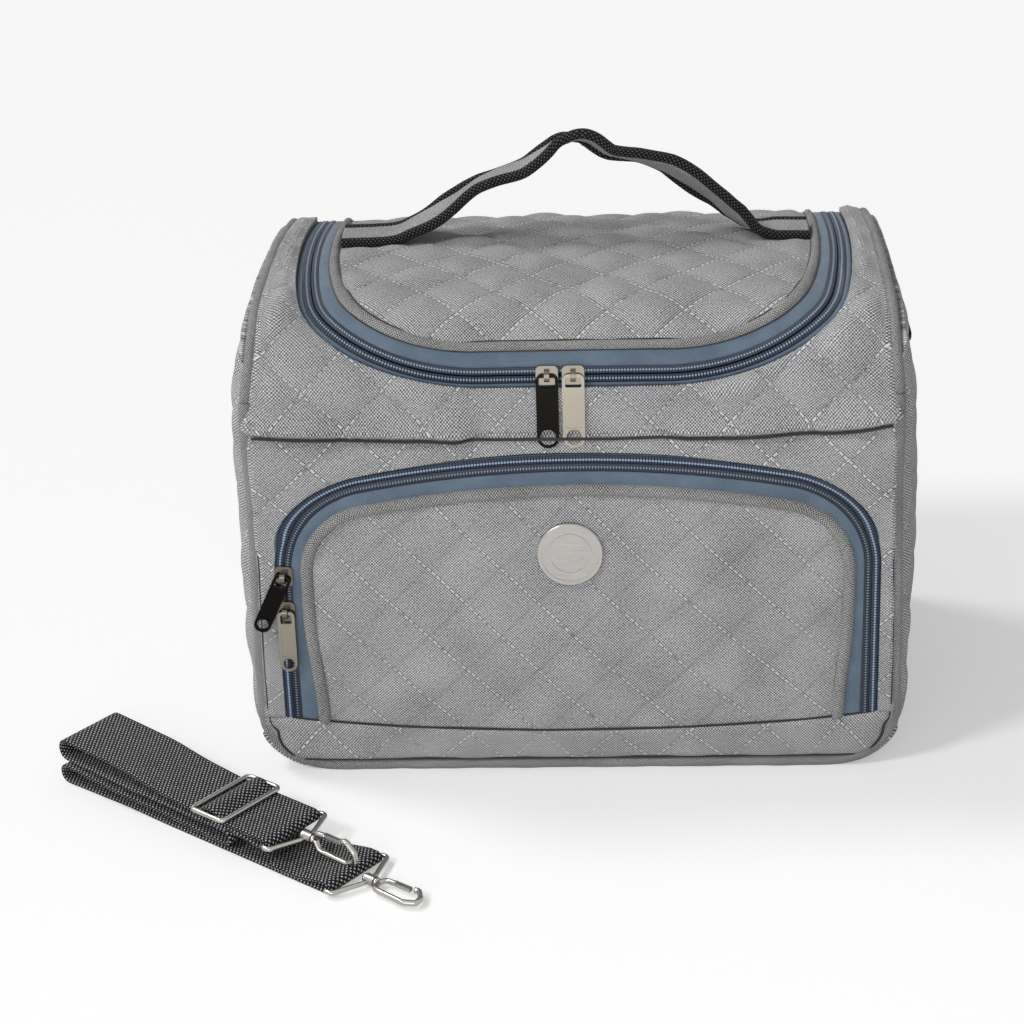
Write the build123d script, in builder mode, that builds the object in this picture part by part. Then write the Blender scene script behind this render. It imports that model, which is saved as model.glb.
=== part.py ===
"""Soft vanity case with a zipped lid, a zipped front pocket, a carry handle and a loose shoulder strap.

The origin is the middle of the base on the floor. X runs along the width, +Y to the back, +Z up.
"""

import os
from math import asin, atan2, cos, degrees, radians, sin, sqrt

from build123d import *

os.makedirs("parts", exist_ok=True)

# Case, in millimetres.
case_width = 320.0
case_depth = 206.0
case_height = 252.0
wall = 4.0
lining = 1.0
board = 2.0
lower_corner = 32.0
front_shoulder = 38.0
back_shoulder = 20.0
crown_radius = 500.0
crown_y = -20.0
side_bulge = 14.0
bulge_low = 32.0
bulge_high = case_height - 7.0
piping_radius = 2.5

# Zips, the same coil and tape on the lid and on the pocket.
coil_width = 2.8
coil_proud = 0.4
coil_depth = 1.4
tape = 0.8
zip_gap = 0.4
outer_tape = 7.0
inner_tape = 14.0
edge_piping = 4.0
edge_piping_proud = 1.6
seam_gap = 0.4
coil_end_gap = 4.0
piping_end_gap = 6.0

# Lid.
lid_zip_half_width = case_width / 2 - 22.0
lid_zip_angle = 12.0
lid_zip_side_radius = 45.0
lid_zip_front_radius = 120.0
lid_zip_front_straight = 45.0
hinge_y = 88.0
lid_meeting_x = -6.0

# Front pocket.
pocket_top = case_height - 62.0
pocket_edge = 3.0
pocket_side_edge = 4.0
pocket_overlap = 2.0
pocket_rise = 8.0
pocket_wall = 2.5
pocket_zip_half_width = case_width / 2 - 11.0
pocket_zip_top = pocket_top - 15.0
pocket_zip_crown = 640.0
pocket_zip_corner = 42.0
base_band_top = 26.0

# Slider bodies.
slider_length = 11.0
slider_width = 9.4
slider_plate = 1.1
slider_spacing = 13.0
slider_web = 0.4
bail_width = 2.6
bail_bar = 1.3
bail_tunnel = 3.4
bail_height = 3.2
running_gap = 0.3

# Pulls.
pull_length = 38.0
pull_width = 11.0
pull_thickness = 1.2
pull_rail = 1.5
pull_bar = 1.8
pull_slot = 5.0
lid_pull_tilt = 5.0
pocket_pull_length = 34.0
pocket_pull_width = 8.8
pocket_slider_low = pocket_zip_top - 80.0
pocket_slider_pitch = 20.0
pocket_pull_swing = 25.0

# Badge.
badge_diameter = 33.5
badge_thickness = 2.0
badge_x = -3.0
badge_z = pocket_zip_top - 47.5
badge_stud = 3.0
badge_washer = 12.0

# Handle.
handle_x = 4.0
handle_y = 20.0
handle_width = 28.0
handle_thickness = 5.0
handle_half_span = lid_zip_half_width - 37.0
handle_rise = 58.5
handle_crown_radius = 30.0
handle_foot_radius = 25.0
handle_end_gap = 1.5
handle_flex = handle_half_span - 23.0
binding_width = 4.0
binding_thickness = 6.4

# Side rings.
ring_wire = 1.5
ring_inner_width = 27.0
ring_drop = 19.0
ring_tab_width = 24.0
ring_tab_thickness = 1.5
ring_tab_top = case_height - 18.0
ring_tab_sewn = case_height - 32.0
ring_bar_z = case_height - 49.0
ring_tilt = 4.0

# Shoulder strap.
webbing_width = 38.0
webbing = 1.6
strap_angle = -37.0
strap_x = -263.0
strap_y = -98.0
strap_left = 0.0
strap_right_fold = 125.0
layer_four = 0.8
layer_three_left = 10.6
layer_three_right = 3.2
layer_two_left = 13.2
layer_two_right = 11.0
layer_one_left = 23.8
fold_round = 0.9
loop_round = 0.98
buckle_u = 112.0
buckle_length = 22.0
buckle_bar_z = 17.9
near_hook_u = 150.0
near_hook_z = 13.0
near_tail = 38.0
far_hook_u = 191.0
frame_wire = 1.3
frame_arm = 4.5
frame_depth = 11.0
frame_neck = 9.0
barrel_length = 5.5
barrel_radius = 3.0
stem_radius = 1.6
stem_gap = 0.1
head_radius = 2.5
head_thickness = 1.0
collar_length = 1.8
hook_width = 12.0
hook_length = 24.0
hook_wire = 2.4
hook_thickness = 3.4
gate_length = 12.0
gate_thickness = 2.0
gate_pin = 0.6
near_hook_roll = 90.0

half_width = case_width / 2
half_depth = case_depth / 2
front_y = -half_depth
panel_half_width = half_width - piping_radius - 0.5
panel_bottom = 2 * piping_radius
far = case_width


def save(part, name):
    """Label a finished piece and write it to its own file."""
    part.label = name
    export_step(part, f"parts/{name}.step")


def ribbon(plane, points, radii, width, thickness):
    """A band of webbing: a flat section swept along straight runs and arcs drawn on a plane."""
    with BuildPart() as band_part:
        with BuildLine(plane) as path:
            FilletPolyline(*points, radius=radii)
        with BuildSketch(Plane(origin=path.line @ 0, x_dir=plane.z_dir, z_dir=path.line % 0)):
            Rectangle(width, thickness)
        sweep()
    return band_part.part


def wire_loop(plane, points, radii, radius):
    """A closed ring of round wire, bent on a plane."""
    with BuildPart() as loop_part:
        with BuildLine(plane) as path:
            FilletPolyline(*points, radius=radii, close=True)
        with BuildSketch(Plane(origin=path.line @ 0, z_dir=path.line % 0)):
            Circle(radius)
        sweep()
    return loop_part.part


def top_height(y, inset):
    """Height of the arched top at y, drawn in from the skin by inset."""
    radius = crown_radius - inset
    return case_height - crown_radius + sqrt(radius**2 - (y - crown_y) ** 2)


def shoulder_height(y, radius):
    """Height of the centre of a shoulder arc whose centre lies at y."""
    return case_height - crown_radius + sqrt((crown_radius - radius) ** 2 - (y - crown_y) ** 2)


shoulder_y = front_y + front_shoulder
shoulder_z = shoulder_height(shoulder_y, front_shoulder)
back_centre_y = half_depth - back_shoulder
back_seam_top = shoulder_height(back_centre_y, back_shoulder)


def side_face(inset, bottom):
    """The case seen from the side: straight front and back under an arched top with round shoulders."""
    front = front_y + inset
    back = half_depth - inset
    with BuildSketch(Plane.YZ) as face:
        with BuildLine():
            Polyline(
                (front, top_height(front, inset)),
                (front, bottom),
                (back, bottom),
                (back, top_height(back, inset)),
            )
            ThreePointArc(
                (back, top_height(back, inset)),
                (crown_y, case_height - inset),
                (front, top_height(front, inset)),
            )
        make_face()
        fillet(face.vertices().group_by(Axis.X)[0].sort_by(Axis.Y)[-1], front_shoulder - inset)
        fillet(face.vertices().group_by(Axis.X)[-1].sort_by(Axis.Y)[-1], back_shoulder - inset)
    return face.sketch


def front_face(half, bottom, corner):
    """The case seen from the front: upright sides and round lower corners."""
    height = case_height + wall - bottom
    with BuildSketch(Plane.XZ) as face:
        with Locations((0, bottom + height / 2)):
            Rectangle(2 * half, height)
        fillet(face.vertices().group_by(Axis.Y)[0], corner)
    return face.sketch


def arc_radius(half_chord, rise):
    """Radius of the arc that rises by a given height over a chord."""
    return (half_chord**2 + rise**2) / (2 * rise)


cheek_plan_radius = arc_radius(half_depth - wall, side_bulge)
cheek_upright_radius = arc_radius((bulge_high - bulge_low) / 2, side_bulge)
cheek_middle = (bulge_high + bulge_low) / 2


def cheek(side, inset):
    """The bulge of one side panel, round in plan and round in elevation."""
    peak = half_width + side_bulge
    with BuildPart() as swell:
        with BuildSketch(Plane.XY.offset(bulge_low)):
            with Locations((side * (peak - cheek_plan_radius), 0)):
                Circle(cheek_plan_radius - inset)
            with Locations((side * half_width, 0)):
                Rectangle(4 * side_bulge, case_depth, mode=Mode.INTERSECT)
        extrude(amount=case_height)
        with BuildSketch(Plane.XZ):
            with Locations((side * (peak - cheek_upright_radius), cheek_middle)):
                Circle(cheek_upright_radius - inset)
        extrude(amount=case_depth, both=True, mode=Mode.INTERSECT)
        extrude(side_face(inset, bulge_low), amount=far, both=True, mode=Mode.INTERSECT)
    return swell.part


def case_block(inset, bottom):
    """The whole case as one bulged block, drawn in from its skin by inset."""
    half = half_width - inset
    with BuildPart() as block:
        extrude(side_face(inset, bottom), amount=half, both=True)
        extrude(
            front_face(half, bottom, lower_corner - max(inset, bottom)),
            amount=case_depth,
            both=True,
            mode=Mode.INTERSECT,
        )
        add(cheek(-1, inset))
        add(cheek(1, inset))
    return block.part


# The lid's zip is drawn on a plane that faces the front shoulder square on, at its lowest line.
zip_sin = sin(radians(lid_zip_angle))
zip_cos = cos(radians(lid_zip_angle))
lid_zip_y = shoulder_y - front_shoulder * zip_cos
lid_zip_z = shoulder_z + front_shoulder * zip_sin
zip_line = lid_zip_y * zip_sin + lid_zip_z * zip_cos
zip_start = -hinge_y * zip_cos + (case_height - crown_radius / 16) * zip_sin
zip_plane = Plane(
    origin=(0, -zip_start * zip_cos, zip_start * zip_sin),
    x_dir=(1, 0, 0),
    z_dir=(0, -zip_cos, zip_sin),
)


side_arc_x = lid_zip_half_width - lid_zip_side_radius
front_arc_y = zip_line + lid_zip_front_radius
arc_distance = lid_zip_front_radius - lid_zip_side_radius
side_arc_y = front_arc_y - sqrt(arc_distance**2 - (side_arc_x - lid_zip_front_straight) ** 2)
corner_turn = degrees(atan2(front_arc_y - side_arc_y, side_arc_x - lid_zip_front_straight))


def lid_outline(grow):
    """D-shaped outline that follows the lid's zip, larger than the coil's middle line by grow."""
    half = lid_zip_half_width + grow
    low = zip_line - grow
    high = zip_line + case_height
    straight = lid_zip_front_straight
    side_radius = lid_zip_side_radius + grow
    front_radius = lid_zip_front_radius + grow
    with BuildSketch(zip_plane) as outline:
        with BuildLine():
            Polyline((half, side_arc_y), (half, high), (-half, high), (-half, side_arc_y))
            CenterArc((side_arc_x, side_arc_y), side_radius, 0, -corner_turn)
            CenterArc((straight, front_arc_y), front_radius, -corner_turn, corner_turn - 90)
            Line((straight, low), (-straight, low))
            CenterArc((-straight, front_arc_y), front_radius, -90, corner_turn - 90)
            CenterArc((-side_arc_x, side_arc_y), side_radius, corner_turn - 180, -corner_turn)
        make_face()
    return outline.sketch


def lid_layer(outer, inner, high, low, back):
    """Part of the skin between two depths and two lid outlines, in front of the plane y = back."""
    with BuildPart() as layer:
        extrude(side_face(high, 0), amount=half_width, both=True)
        extrude(side_face(low, -wall), amount=far, both=True, mode=Mode.SUBTRACT)
        extrude(lid_outline(outer), amount=case_depth + far, mode=Mode.INTERSECT)
        if inner is not None:
            extrude(lid_outline(inner), amount=case_depth + far, mode=Mode.SUBTRACT)
        split(bisect_by=Plane.XZ.offset(-back), keep=Keep.TOP)
    return layer


# Shell of the case: one band over front, top and back, and a strip round the sides and the base.
with BuildPart() as band:
    extrude(side_face(0, panel_bottom), amount=panel_half_width, both=True)
    extrude(
        front_face(panel_half_width, panel_bottom, lower_corner - panel_bottom),
        amount=case_depth,
        both=True,
        mode=Mode.INTERSECT,
    )
    extrude(side_face(wall, -wall), amount=far, both=True, mode=Mode.SUBTRACT)

with BuildPart() as front_panel:
    add(band.part)
    split(bisect_by=Plane.XZ.offset(-hinge_y), keep=Keep.TOP)
    extrude(lid_outline(outer_tape), amount=case_depth + far, mode=Mode.SUBTRACT)
save(front_panel.part, "front_panel")

with BuildPart() as back_panel:
    add(band.part)
    split(bisect_by=Plane.XZ.offset(-hinge_y), keep=Keep.BOTTOM)
save(back_panel.part, "back_panel")

with BuildPart() as gusset_strip:
    add(case_block(0, 0))
    extrude(side_face(wall, 0), amount=far, both=True, mode=Mode.INTERSECT)
    add(case_block(wall, wall), mode=Mode.SUBTRACT)

gusset_joint = half_width - lower_corner
for name, side in (("left_gusset", -1), ("right_gusset", 1)):
    with BuildPart() as gusset:
        add(gusset_strip.part)
        split(bisect_by=Plane.YZ.offset(side * gusset_joint), keep=Keep.TOP if side > 0 else Keep.BOTTOM)
    save(gusset.part, name)

with BuildPart() as base_panel:
    add(gusset_strip.part)
    split(bisect_by=Plane.YZ.offset(gusset_joint), keep=Keep.BOTTOM)
    split(bisect_by=Plane.YZ.offset(-gusset_joint), keep=Keep.TOP)
save(base_panel.part, "base_panel")

with BuildPart() as base_board:
    with BuildSketch(Plane.XY.offset(wall)):
        RectangleRounded(2 * gusset_joint, case_depth - 2 * wall - 2 * lining, front_shoulder / 4)
    extrude(amount=board)
save(base_board.part, "base_board")

lining_bottom = wall + board
with BuildPart() as main_lining:
    add(case_block(wall, lining_bottom))
    add(case_block(wall + lining, lining_bottom + lining), mode=Mode.SUBTRACT)
    with BuildPart(mode=Mode.PRIVATE) as mouth:
        extrude(lid_outline(outer_tape), amount=case_depth + far)
        split(bisect_by=Plane.XZ.offset(-hinge_y), keep=Keep.TOP)
    add(mouth.part, mode=Mode.SUBTRACT)
save(main_lining.part, "main_lining")


# Piping in the seams between the band and the strip.
piping_x = panel_half_width + piping_radius
piping_inset = wall - piping_radius


def piping_frame(y):
    """Piping round the front or the back: up one side, round the lower corners and up the other."""
    upright_top = shoulder_z if y < 0 else back_seam_top
    radius = lower_corner - piping_radius
    with BuildPart() as piping:
        with BuildLine(Plane.XZ.offset(-y)) as path:
            FilletPolyline(
                (-piping_x, upright_top),
                (-piping_x, piping_radius),
                (piping_x, piping_radius),
                (piping_x, upright_top),
                radius=radius,
            )
        with BuildSketch(Plane(origin=path.line @ 0, z_dir=path.line % 0)):
            Circle(piping_radius)
        sweep()
    return piping.part


save(piping_frame(front_y + piping_inset), "front_piping")
save(piping_frame(half_depth - piping_inset), "back_piping")


# Over the top the piping follows both shoulder arcs and the arch between them.
crown_z = case_height - crown_radius
front_turn = degrees(atan2(shoulder_z - crown_z, shoulder_y - crown_y))
back_turn = degrees(atan2(back_seam_top - crown_z, back_centre_y - crown_y))
for name, side in (("left_top_piping", -1), ("right_top_piping", 1)):
    front_arc = front_shoulder - piping_inset
    back_arc = back_shoulder - piping_inset
    crown_arc = crown_radius - piping_inset
    with BuildPart() as top_piping:
        with BuildLine(Plane.YZ.offset(side * piping_x)) as path:
            CenterArc((shoulder_y, shoulder_z), front_arc, 180, front_turn - 180)
            CenterArc((crown_y, crown_z), crown_arc, front_turn, back_turn - front_turn)
            CenterArc((back_centre_y, back_seam_top), back_arc, back_turn, -back_turn)
        with BuildSketch(Plane(origin=path.line @ 0, z_dir=path.line % 0)):
            Circle(piping_radius)
        sweep()
    save(top_piping.part, name)


# Lid: quilted panel, piping, zip tape and coil, and lining.
lid_back = hinge_y - seam_gap
lid_coil_back = hinge_y - coil_end_gap
lid_piping_back = hinge_y - piping_end_gap
lid_edge = -inner_tape
piping_edge = lid_edge + edge_piping
tape_high = coil_depth
tape_low = coil_depth + tape
notch_half = slider_spacing / 2 + slider_length / 2 + 2 * running_gap
notch_depth = slider_width / 2 + 2 * running_gap


def lid_notch():
    """Room in the lid's half of the zip for the two slider bodies, which stay on the case."""
    with BuildPart() as room:
        with BuildSketch(zip_plane):
            with Locations((lid_meeting_x, zip_line + notch_depth / 2)):
                Rectangle(2 * notch_half, notch_depth)
        extrude(amount=case_depth + far)
    return room.part


save(lid_layer(lid_edge, None, 0, wall, lid_back).part, "lid_panel")
save(
    lid_layer(piping_edge, lid_edge, -edge_piping_proud, tape_high, lid_piping_back).part,
    "lid_piping",
)
save(lid_layer(lid_edge, None, wall, wall + lining, lid_back).part, "lid_lining")

with BuildPart() as lid_tape:
    add(lid_layer(-zip_gap, lid_edge, tape_high, tape_low, lid_back).part)
    add(lid_notch(), mode=Mode.SUBTRACT)
save(lid_tape.part, "lid_tape")

with BuildPart() as lid_coil:
    add(lid_layer(-zip_gap, -zip_gap - coil_width, -coil_proud, tape_high, lid_coil_back).part)
    add(lid_notch(), mode=Mode.SUBTRACT)
for name, half_coil in zip(("lid_coil_left", "lid_coil_right"), lid_coil.solids().sort_by(Axis.X)):
    save(half_coil, name)

save(lid_layer(outer_tape, zip_gap, tape_high, tape_low, hinge_y).part, "case_zip_tape")
save(lid_layer(zip_gap + coil_width, zip_gap, -coil_proud, tape_high, hinge_y).part, "case_zip_coil")


# Front pocket: a bulged shell on the front panel, cut by an arched zip.
pocket_middle = (panel_bottom + pocket_top) / 2
pocket_half_width = panel_half_width + pocket_overlap
pocket_half_height = (pocket_top - panel_bottom) / 2 + pocket_overlap
pocket_plan_radius = arc_radius(pocket_half_width, pocket_rise)
pocket_side_radius = arc_radius(pocket_half_height, pocket_rise)
pocket_plan = Plane(origin=(0, front_y, pocket_top), x_dir=(1, 0, 0), z_dir=(0, 0, -1))
pocket_side = Plane(origin=(-half_width, front_y, pocket_middle), x_dir=(0, 0, 1), z_dir=(1, 0, 0))


def bulge_face(plane, half_length, edge, rise):
    """A flat-backed bulge in section: its edge height at both ends and its rise in the middle."""
    with BuildSketch(plane) as face:
        with BuildLine():
            ThreePointArc((-half_length, edge), (0, edge + rise), (half_length, edge))
            if edge > 0:
                Polyline((half_length, edge), (half_length, 0), (-half_length, 0), (-half_length, edge))
            else:
                Line((half_length, edge), (-half_length, edge))
        make_face()
    return face.sketch


def pocket_block(inset):
    """The pocket as a solid bulge, drawn in from its skin by inset."""
    side_edge = pocket_side_edge - inset
    end_edge = pocket_edge - inset
    with BuildPart() as block:
        extrude(
            bulge_face(pocket_plan, pocket_half_width, side_edge, pocket_rise),
            amount=pocket_top,
        )
        extrude(
            bulge_face(pocket_side, pocket_half_height, end_edge, pocket_rise),
            amount=case_width,
            mode=Mode.INTERSECT,
        )
        extrude(
            front_face(panel_half_width, panel_bottom, lower_corner - panel_bottom),
            amount=case_depth,
            both=True,
            mode=Mode.INTERSECT,
        )
    return block.part


def pocket_outline(grow):
    """Arched outline that follows the pocket's zip, larger than the coil's middle line by grow."""
    half = pocket_zip_half_width + grow
    top = pocket_zip_top + grow
    radius = pocket_zip_crown + grow
    eaves = top - radius + sqrt(radius**2 - half**2)
    with BuildSketch(Plane.XZ.offset(half_depth)) as outline:
        with BuildLine():
            Polyline((-half, eaves), (-half, base_band_top), (half, base_band_top), (half, eaves))
            ThreePointArc((half, eaves), (0, top), (-half, eaves))
        make_face()
        fillet(outline.vertices().group_by(Axis.Y)[-1], pocket_zip_corner + grow)
    return outline.sketch


pocket_reach = pocket_edge + pocket_rise + wall


def pocket_layer(outer, inner, high, low, bottom):
    """Part of the pocket's skin between two depths and two zip outlines, above the height bottom."""
    with BuildPart() as layer:
        add(pocket_block(high))
        add(pocket_block(low), mode=Mode.SUBTRACT)
        extrude(pocket_outline(outer), amount=pocket_reach, mode=Mode.INTERSECT)
        if inner is not None:
            extrude(pocket_outline(inner), amount=pocket_reach, mode=Mode.SUBTRACT)
        split(bisect_by=Plane.XY.offset(bottom), keep=Keep.TOP)
    return layer


with BuildPart() as pocket_shell:
    add(pocket_block(0))
    add(pocket_block(pocket_wall), mode=Mode.SUBTRACT)

with BuildPart() as pocket_surround:
    add(pocket_shell.part)
    split(bisect_by=Plane.XY.offset(base_band_top), keep=Keep.TOP)
    extrude(pocket_outline(outer_tape), amount=pocket_reach, mode=Mode.SUBTRACT)
save(pocket_surround.part, "pocket_surround")

with BuildPart() as pocket_base_band:
    add(pocket_shell.part)
    split(bisect_by=Plane.XY.offset(base_band_top), keep=Keep.BOTTOM)
save(pocket_base_band.part, "pocket_base_band")

save(
    pocket_layer(outer_tape, zip_gap, tape_high, tape_low, base_band_top).part,
    "pocket_zip_tape",
)
save(
    pocket_layer(zip_gap + coil_width, zip_gap, -coil_proud, tape_high, base_band_top).part,
    "pocket_zip_coil",
)

# Pocket flap, which turns down about its lower seam.
flap_bottom = base_band_top + seam_gap
pocket_slider_x = -pocket_zip_half_width
pocket_slider_high = pocket_slider_low + pocket_slider_pitch


def flap_notch():
    """Room in the flap's half of the zip for the two slider bodies and their pulls."""
    low = pocket_slider_low - pocket_pull_length - 2 * running_gap
    high = pocket_slider_high + slider_length / 2 + 2 * running_gap
    with BuildPart() as room:
        with BuildSketch(Plane.XZ.offset(half_depth)):
            with Locations((pocket_slider_x + notch_depth / 2, (low + high) / 2)):
                Rectangle(notch_depth, high - low)
        extrude(amount=pocket_reach)
    return room.part


def pocket_front(z):
    """Distance of the pocket's skin in front of the middle, on its centre line, at height z."""
    radius = pocket_side_radius
    return front_y - pocket_edge - pocket_rise + radius - sqrt(radius**2 - (z - pocket_middle) ** 2)


def pocket_slope(z):
    """Lean of the pocket's skin on its centre line at height z, in radians, facing up when positive."""
    return (z - pocket_middle) / pocket_side_radius


badge_lean = pocket_slope(badge_z)
badge_plane = Plane(
    origin=(badge_x, pocket_front(badge_z), badge_z),
    x_dir=(1, 0, 0),
    z_dir=(0, -cos(badge_lean), sin(badge_lean)),
)

with BuildPart() as flap_panel:
    add(pocket_layer(lid_edge, None, 0, pocket_wall, flap_bottom).part)
    with BuildSketch(badge_plane.offset(-pocket_reach)):
        Circle(badge_stud / 2 + running_gap / 2)
    extrude(amount=2 * pocket_reach, mode=Mode.SUBTRACT)
save(flap_panel.part, "flap_panel")

save(
    pocket_layer(piping_edge, lid_edge, -edge_piping_proud, tape_high, flap_bottom).part,
    "flap_piping",
)

with BuildPart() as flap_tape:
    add(pocket_layer(-zip_gap, lid_edge, tape_high, tape_low, flap_bottom).part)
    add(flap_notch(), mode=Mode.SUBTRACT)
save(flap_tape.part, "flap_tape")

with BuildPart() as flap_coil:
    add(pocket_layer(-zip_gap, -zip_gap - coil_width, -coil_proud, tape_high, flap_bottom).part)
    add(flap_notch(), mode=Mode.SUBTRACT)
for name, stretch in zip(("flap_coil_foot", "flap_coil"), flap_coil.solids().sort_by(Axis.Z)):
    save(stretch, name)

# Badge: a plain disc with a raised rim and one ring, on a stud through the flap.
washer_depth = pocket_wall + running_gap
with BuildPart() as badge:
    with BuildSketch(badge_plane):
        Circle(badge_diameter / 2)
    extrude(amount=badge_thickness)
    chamfer(badge.edges().filter_by(GeomType.CIRCLE).sort_by(Axis.Y)[0], badge_thickness / 4)
    for outer, inner in ((0.86, 0.66), (0.58, 0.0)):
        with BuildSketch(badge_plane.offset(badge_thickness * 0.8)):
            Circle(badge_diameter / 2 * outer)
            if inner:
                Circle(badge_diameter / 2 * inner, mode=Mode.SUBTRACT)
        extrude(amount=badge_thickness, mode=Mode.SUBTRACT)
    with BuildSketch(badge_plane.offset(-washer_depth)):
        Circle(badge_stud / 2)
    extrude(amount=washer_depth)
save(badge.part, "badge")

with BuildPart() as washer:
    with BuildSketch(badge_plane.offset(-washer_depth - lining)):
        Circle(badge_washer / 2)
    extrude(amount=lining)
save(washer.part, "badge_washer")


# Zip sliders. The place plane lies on the skin at the coil's middle line and faces outward.
pivot_height = coil_proud + running_gap + slider_plate + bail_height / 2


def slider(place, along_x):
    """Slider body: two plates on a thin web, side flanges over the coil, and a bail on top."""
    size = (slider_length, slider_width) if along_x else (slider_width, slider_length)
    plate_low = coil_proud + running_gap
    flange = slider_width / 2 - zip_gap - coil_width - running_gap
    flange_at = slider_width / 2 - flange / 2
    lower_top = -tape_low - running_gap
    with BuildPart() as body:
        with BuildSketch(place.offset(plate_low)):
            RectangleRounded(*size, slider_width / 4)
        extrude(amount=slider_plate)
        with BuildSketch(place.offset(lower_top)):
            RectangleRounded(*size, slider_width / 4)
        extrude(amount=-tape)
        with BuildSketch(place.offset(lower_top)):
            if along_x:
                Rectangle(slider_length / 3, slider_web)
            else:
                Rectangle(slider_web, slider_length / 3)
        extrude(amount=plate_low - lower_top)
        with BuildSketch(place.offset(plate_low)):
            for shift in (-flange_at, flange_at):
                with Locations((0, shift) if along_x else (shift, 0)):
                    if along_x:
                        Rectangle(slider_length / 2, flange)
                    else:
                        Rectangle(flange, slider_length / 2)
        extrude(amount=-slider_plate - 2 * running_gap)
        arch_plane = Plane(origin=place.origin, x_dir=place.y_dir, z_dir=place.x_dir)
        plate_high = plate_low + slider_plate
        arch_height = bail_height + bail_bar
        arch_length = bail_tunnel + 2 * bail_bar
        with BuildSketch(arch_plane) as arch:
            with Locations((0, plate_high + arch_height / 2)):
                Rectangle(arch_length, arch_height)
            fillet(arch.vertices().group_by(Axis.Y)[-1], bail_bar + bail_tunnel / 3)
            with Locations((0, plate_high + bail_height / 2)):
                RectangleRounded(bail_tunnel, bail_height, bail_tunnel / 4, mode=Mode.SUBTRACT)
        extrude(amount=bail_width / 2, both=True)
    return body.part


def pull(place, length, width):
    """Zip pull hanging down from its bar: slot for the bail, round end with a finger hole."""
    hole = width / 2 - pull_rail
    with BuildPart() as plate:
        with BuildSketch(place.offset(-pull_thickness / 2)) as outline:
            with Locations((0, pull_bar / 2 - length / 2)):
                Rectangle(width, length)
            fillet(outline.vertices().group_by(Axis.Y)[0], width * 0.49)
            fillet(outline.vertices().group_by(Axis.Y)[-1], width * 0.3)
            with Locations((0, -pull_bar / 2 - pull_slot / 2)):
                RectangleRounded(width - 2 * pull_rail, pull_slot, pull_rail / 2, mode=Mode.SUBTRACT)
            with Locations((0, pull_bar / 2 - length + width / 2)):
                Circle(hole, mode=Mode.SUBTRACT)
        extrude(amount=pull_thickness)
        recess_top = -pull_bar / 2 - pull_slot - pull_rail
        recess_low = pull_bar / 2 - length + width / 2 + hole + pull_rail / 2
        with BuildSketch(place.offset(pull_thickness / 2)):
            with Locations((0, (recess_top + recess_low) / 2)):
                RectangleRounded(width - 2 * pull_rail, recess_top - recess_low, pull_rail / 2)
        extrude(amount=-pull_thickness / 4, mode=Mode.SUBTRACT)
    return plate.part


def pull_place(pivot, tilt, swing):
    """Plane of a pull at its bar, tilted out from the wall and swung to the left, in degrees."""
    lean = radians(tilt)
    turn = radians(swing)
    across = Vector(cos(turn), 0, -sin(turn))
    down = Vector(-sin(turn) * cos(lean), -sin(lean), -cos(turn) * cos(lean))
    return Plane(origin=pivot, x_dir=across, z_dir=across.cross(-down))


for name, shift in (("left", -slider_spacing / 2), ("right", slider_spacing / 2)):
    x = lid_meeting_x + shift
    place = Plane(origin=(x, lid_zip_y, lid_zip_z), x_dir=(1, 0, 0), z_dir=zip_plane.z_dir)
    save(slider(place, True), f"lid_slider_{name}")
    pivot = (x, lid_zip_y - pivot_height * zip_cos, lid_zip_z + pivot_height * zip_sin)
    save(pull(pull_place(pivot, lid_pull_tilt, 0), pull_length, pull_width), f"lid_pull_{name}")

pocket_peak_y = front_y - pocket_side_edge - pocket_rise
pocket_slider_turn = asin(pocket_slider_x / pocket_plan_radius)
pocket_slider_y = pocket_peak_y + pocket_plan_radius * (1 - cos(pocket_slider_turn))
pocket_slider_out = Vector(sin(pocket_slider_turn), -cos(pocket_slider_turn), 0)
pocket_slider_across = Vector(cos(pocket_slider_turn), sin(pocket_slider_turn), 0)
for name, z, swing in (
    ("upper", pocket_slider_high, pocket_pull_swing),
    ("lower", pocket_slider_low, 0),
):
    foot = Vector(pocket_slider_x, pocket_slider_y, z)
    place = Plane(origin=foot, x_dir=pocket_slider_across, z_dir=pocket_slider_out)
    save(slider(place, False), f"pocket_slider_{name}")
    pivot = foot + pocket_slider_out * pivot_height
    hanging = pull_place(pivot, 0, swing)
    save(pull(hanging, pocket_pull_length, pocket_pull_width), f"pocket_pull_{name}")


# Handle: sewn down at both ends on the lid, free to swing between two bends.
handle_foot_z = top_height(handle_y, 0) + binding_thickness / 2
handle_apex = handle_foot_z + handle_rise
handle_pivot_z = handle_foot_z + (handle_half_span - handle_flex) * handle_rise / handle_half_span


def handle_band(low_y, high_y, thickness):
    """The whole handle between two planes along Y, from one sewn end to the other."""
    points = (
        (-lid_zip_half_width, handle_foot_z),
        (handle_x - handle_half_span, handle_foot_z),
        (handle_x, handle_apex),
        (handle_x + handle_half_span, handle_foot_z),
        (lid_zip_half_width, handle_foot_z),
    )
    radii = [handle_foot_radius, handle_crown_radius, handle_foot_radius]
    middle = (low_y + high_y) / 2
    return ribbon(Plane.XZ.offset(-middle), points, radii, high_y - low_y, thickness)


def between(part, low_x, high_x):
    """The stretch of a piece between two planes along X."""
    with BuildPart() as stretch:
        add(part)
        split(bisect_by=Plane.YZ.offset(low_x), keep=Keep.TOP)
        split(bisect_by=Plane.YZ.offset(high_x), keep=Keep.BOTTOM)
    return stretch.part


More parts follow.
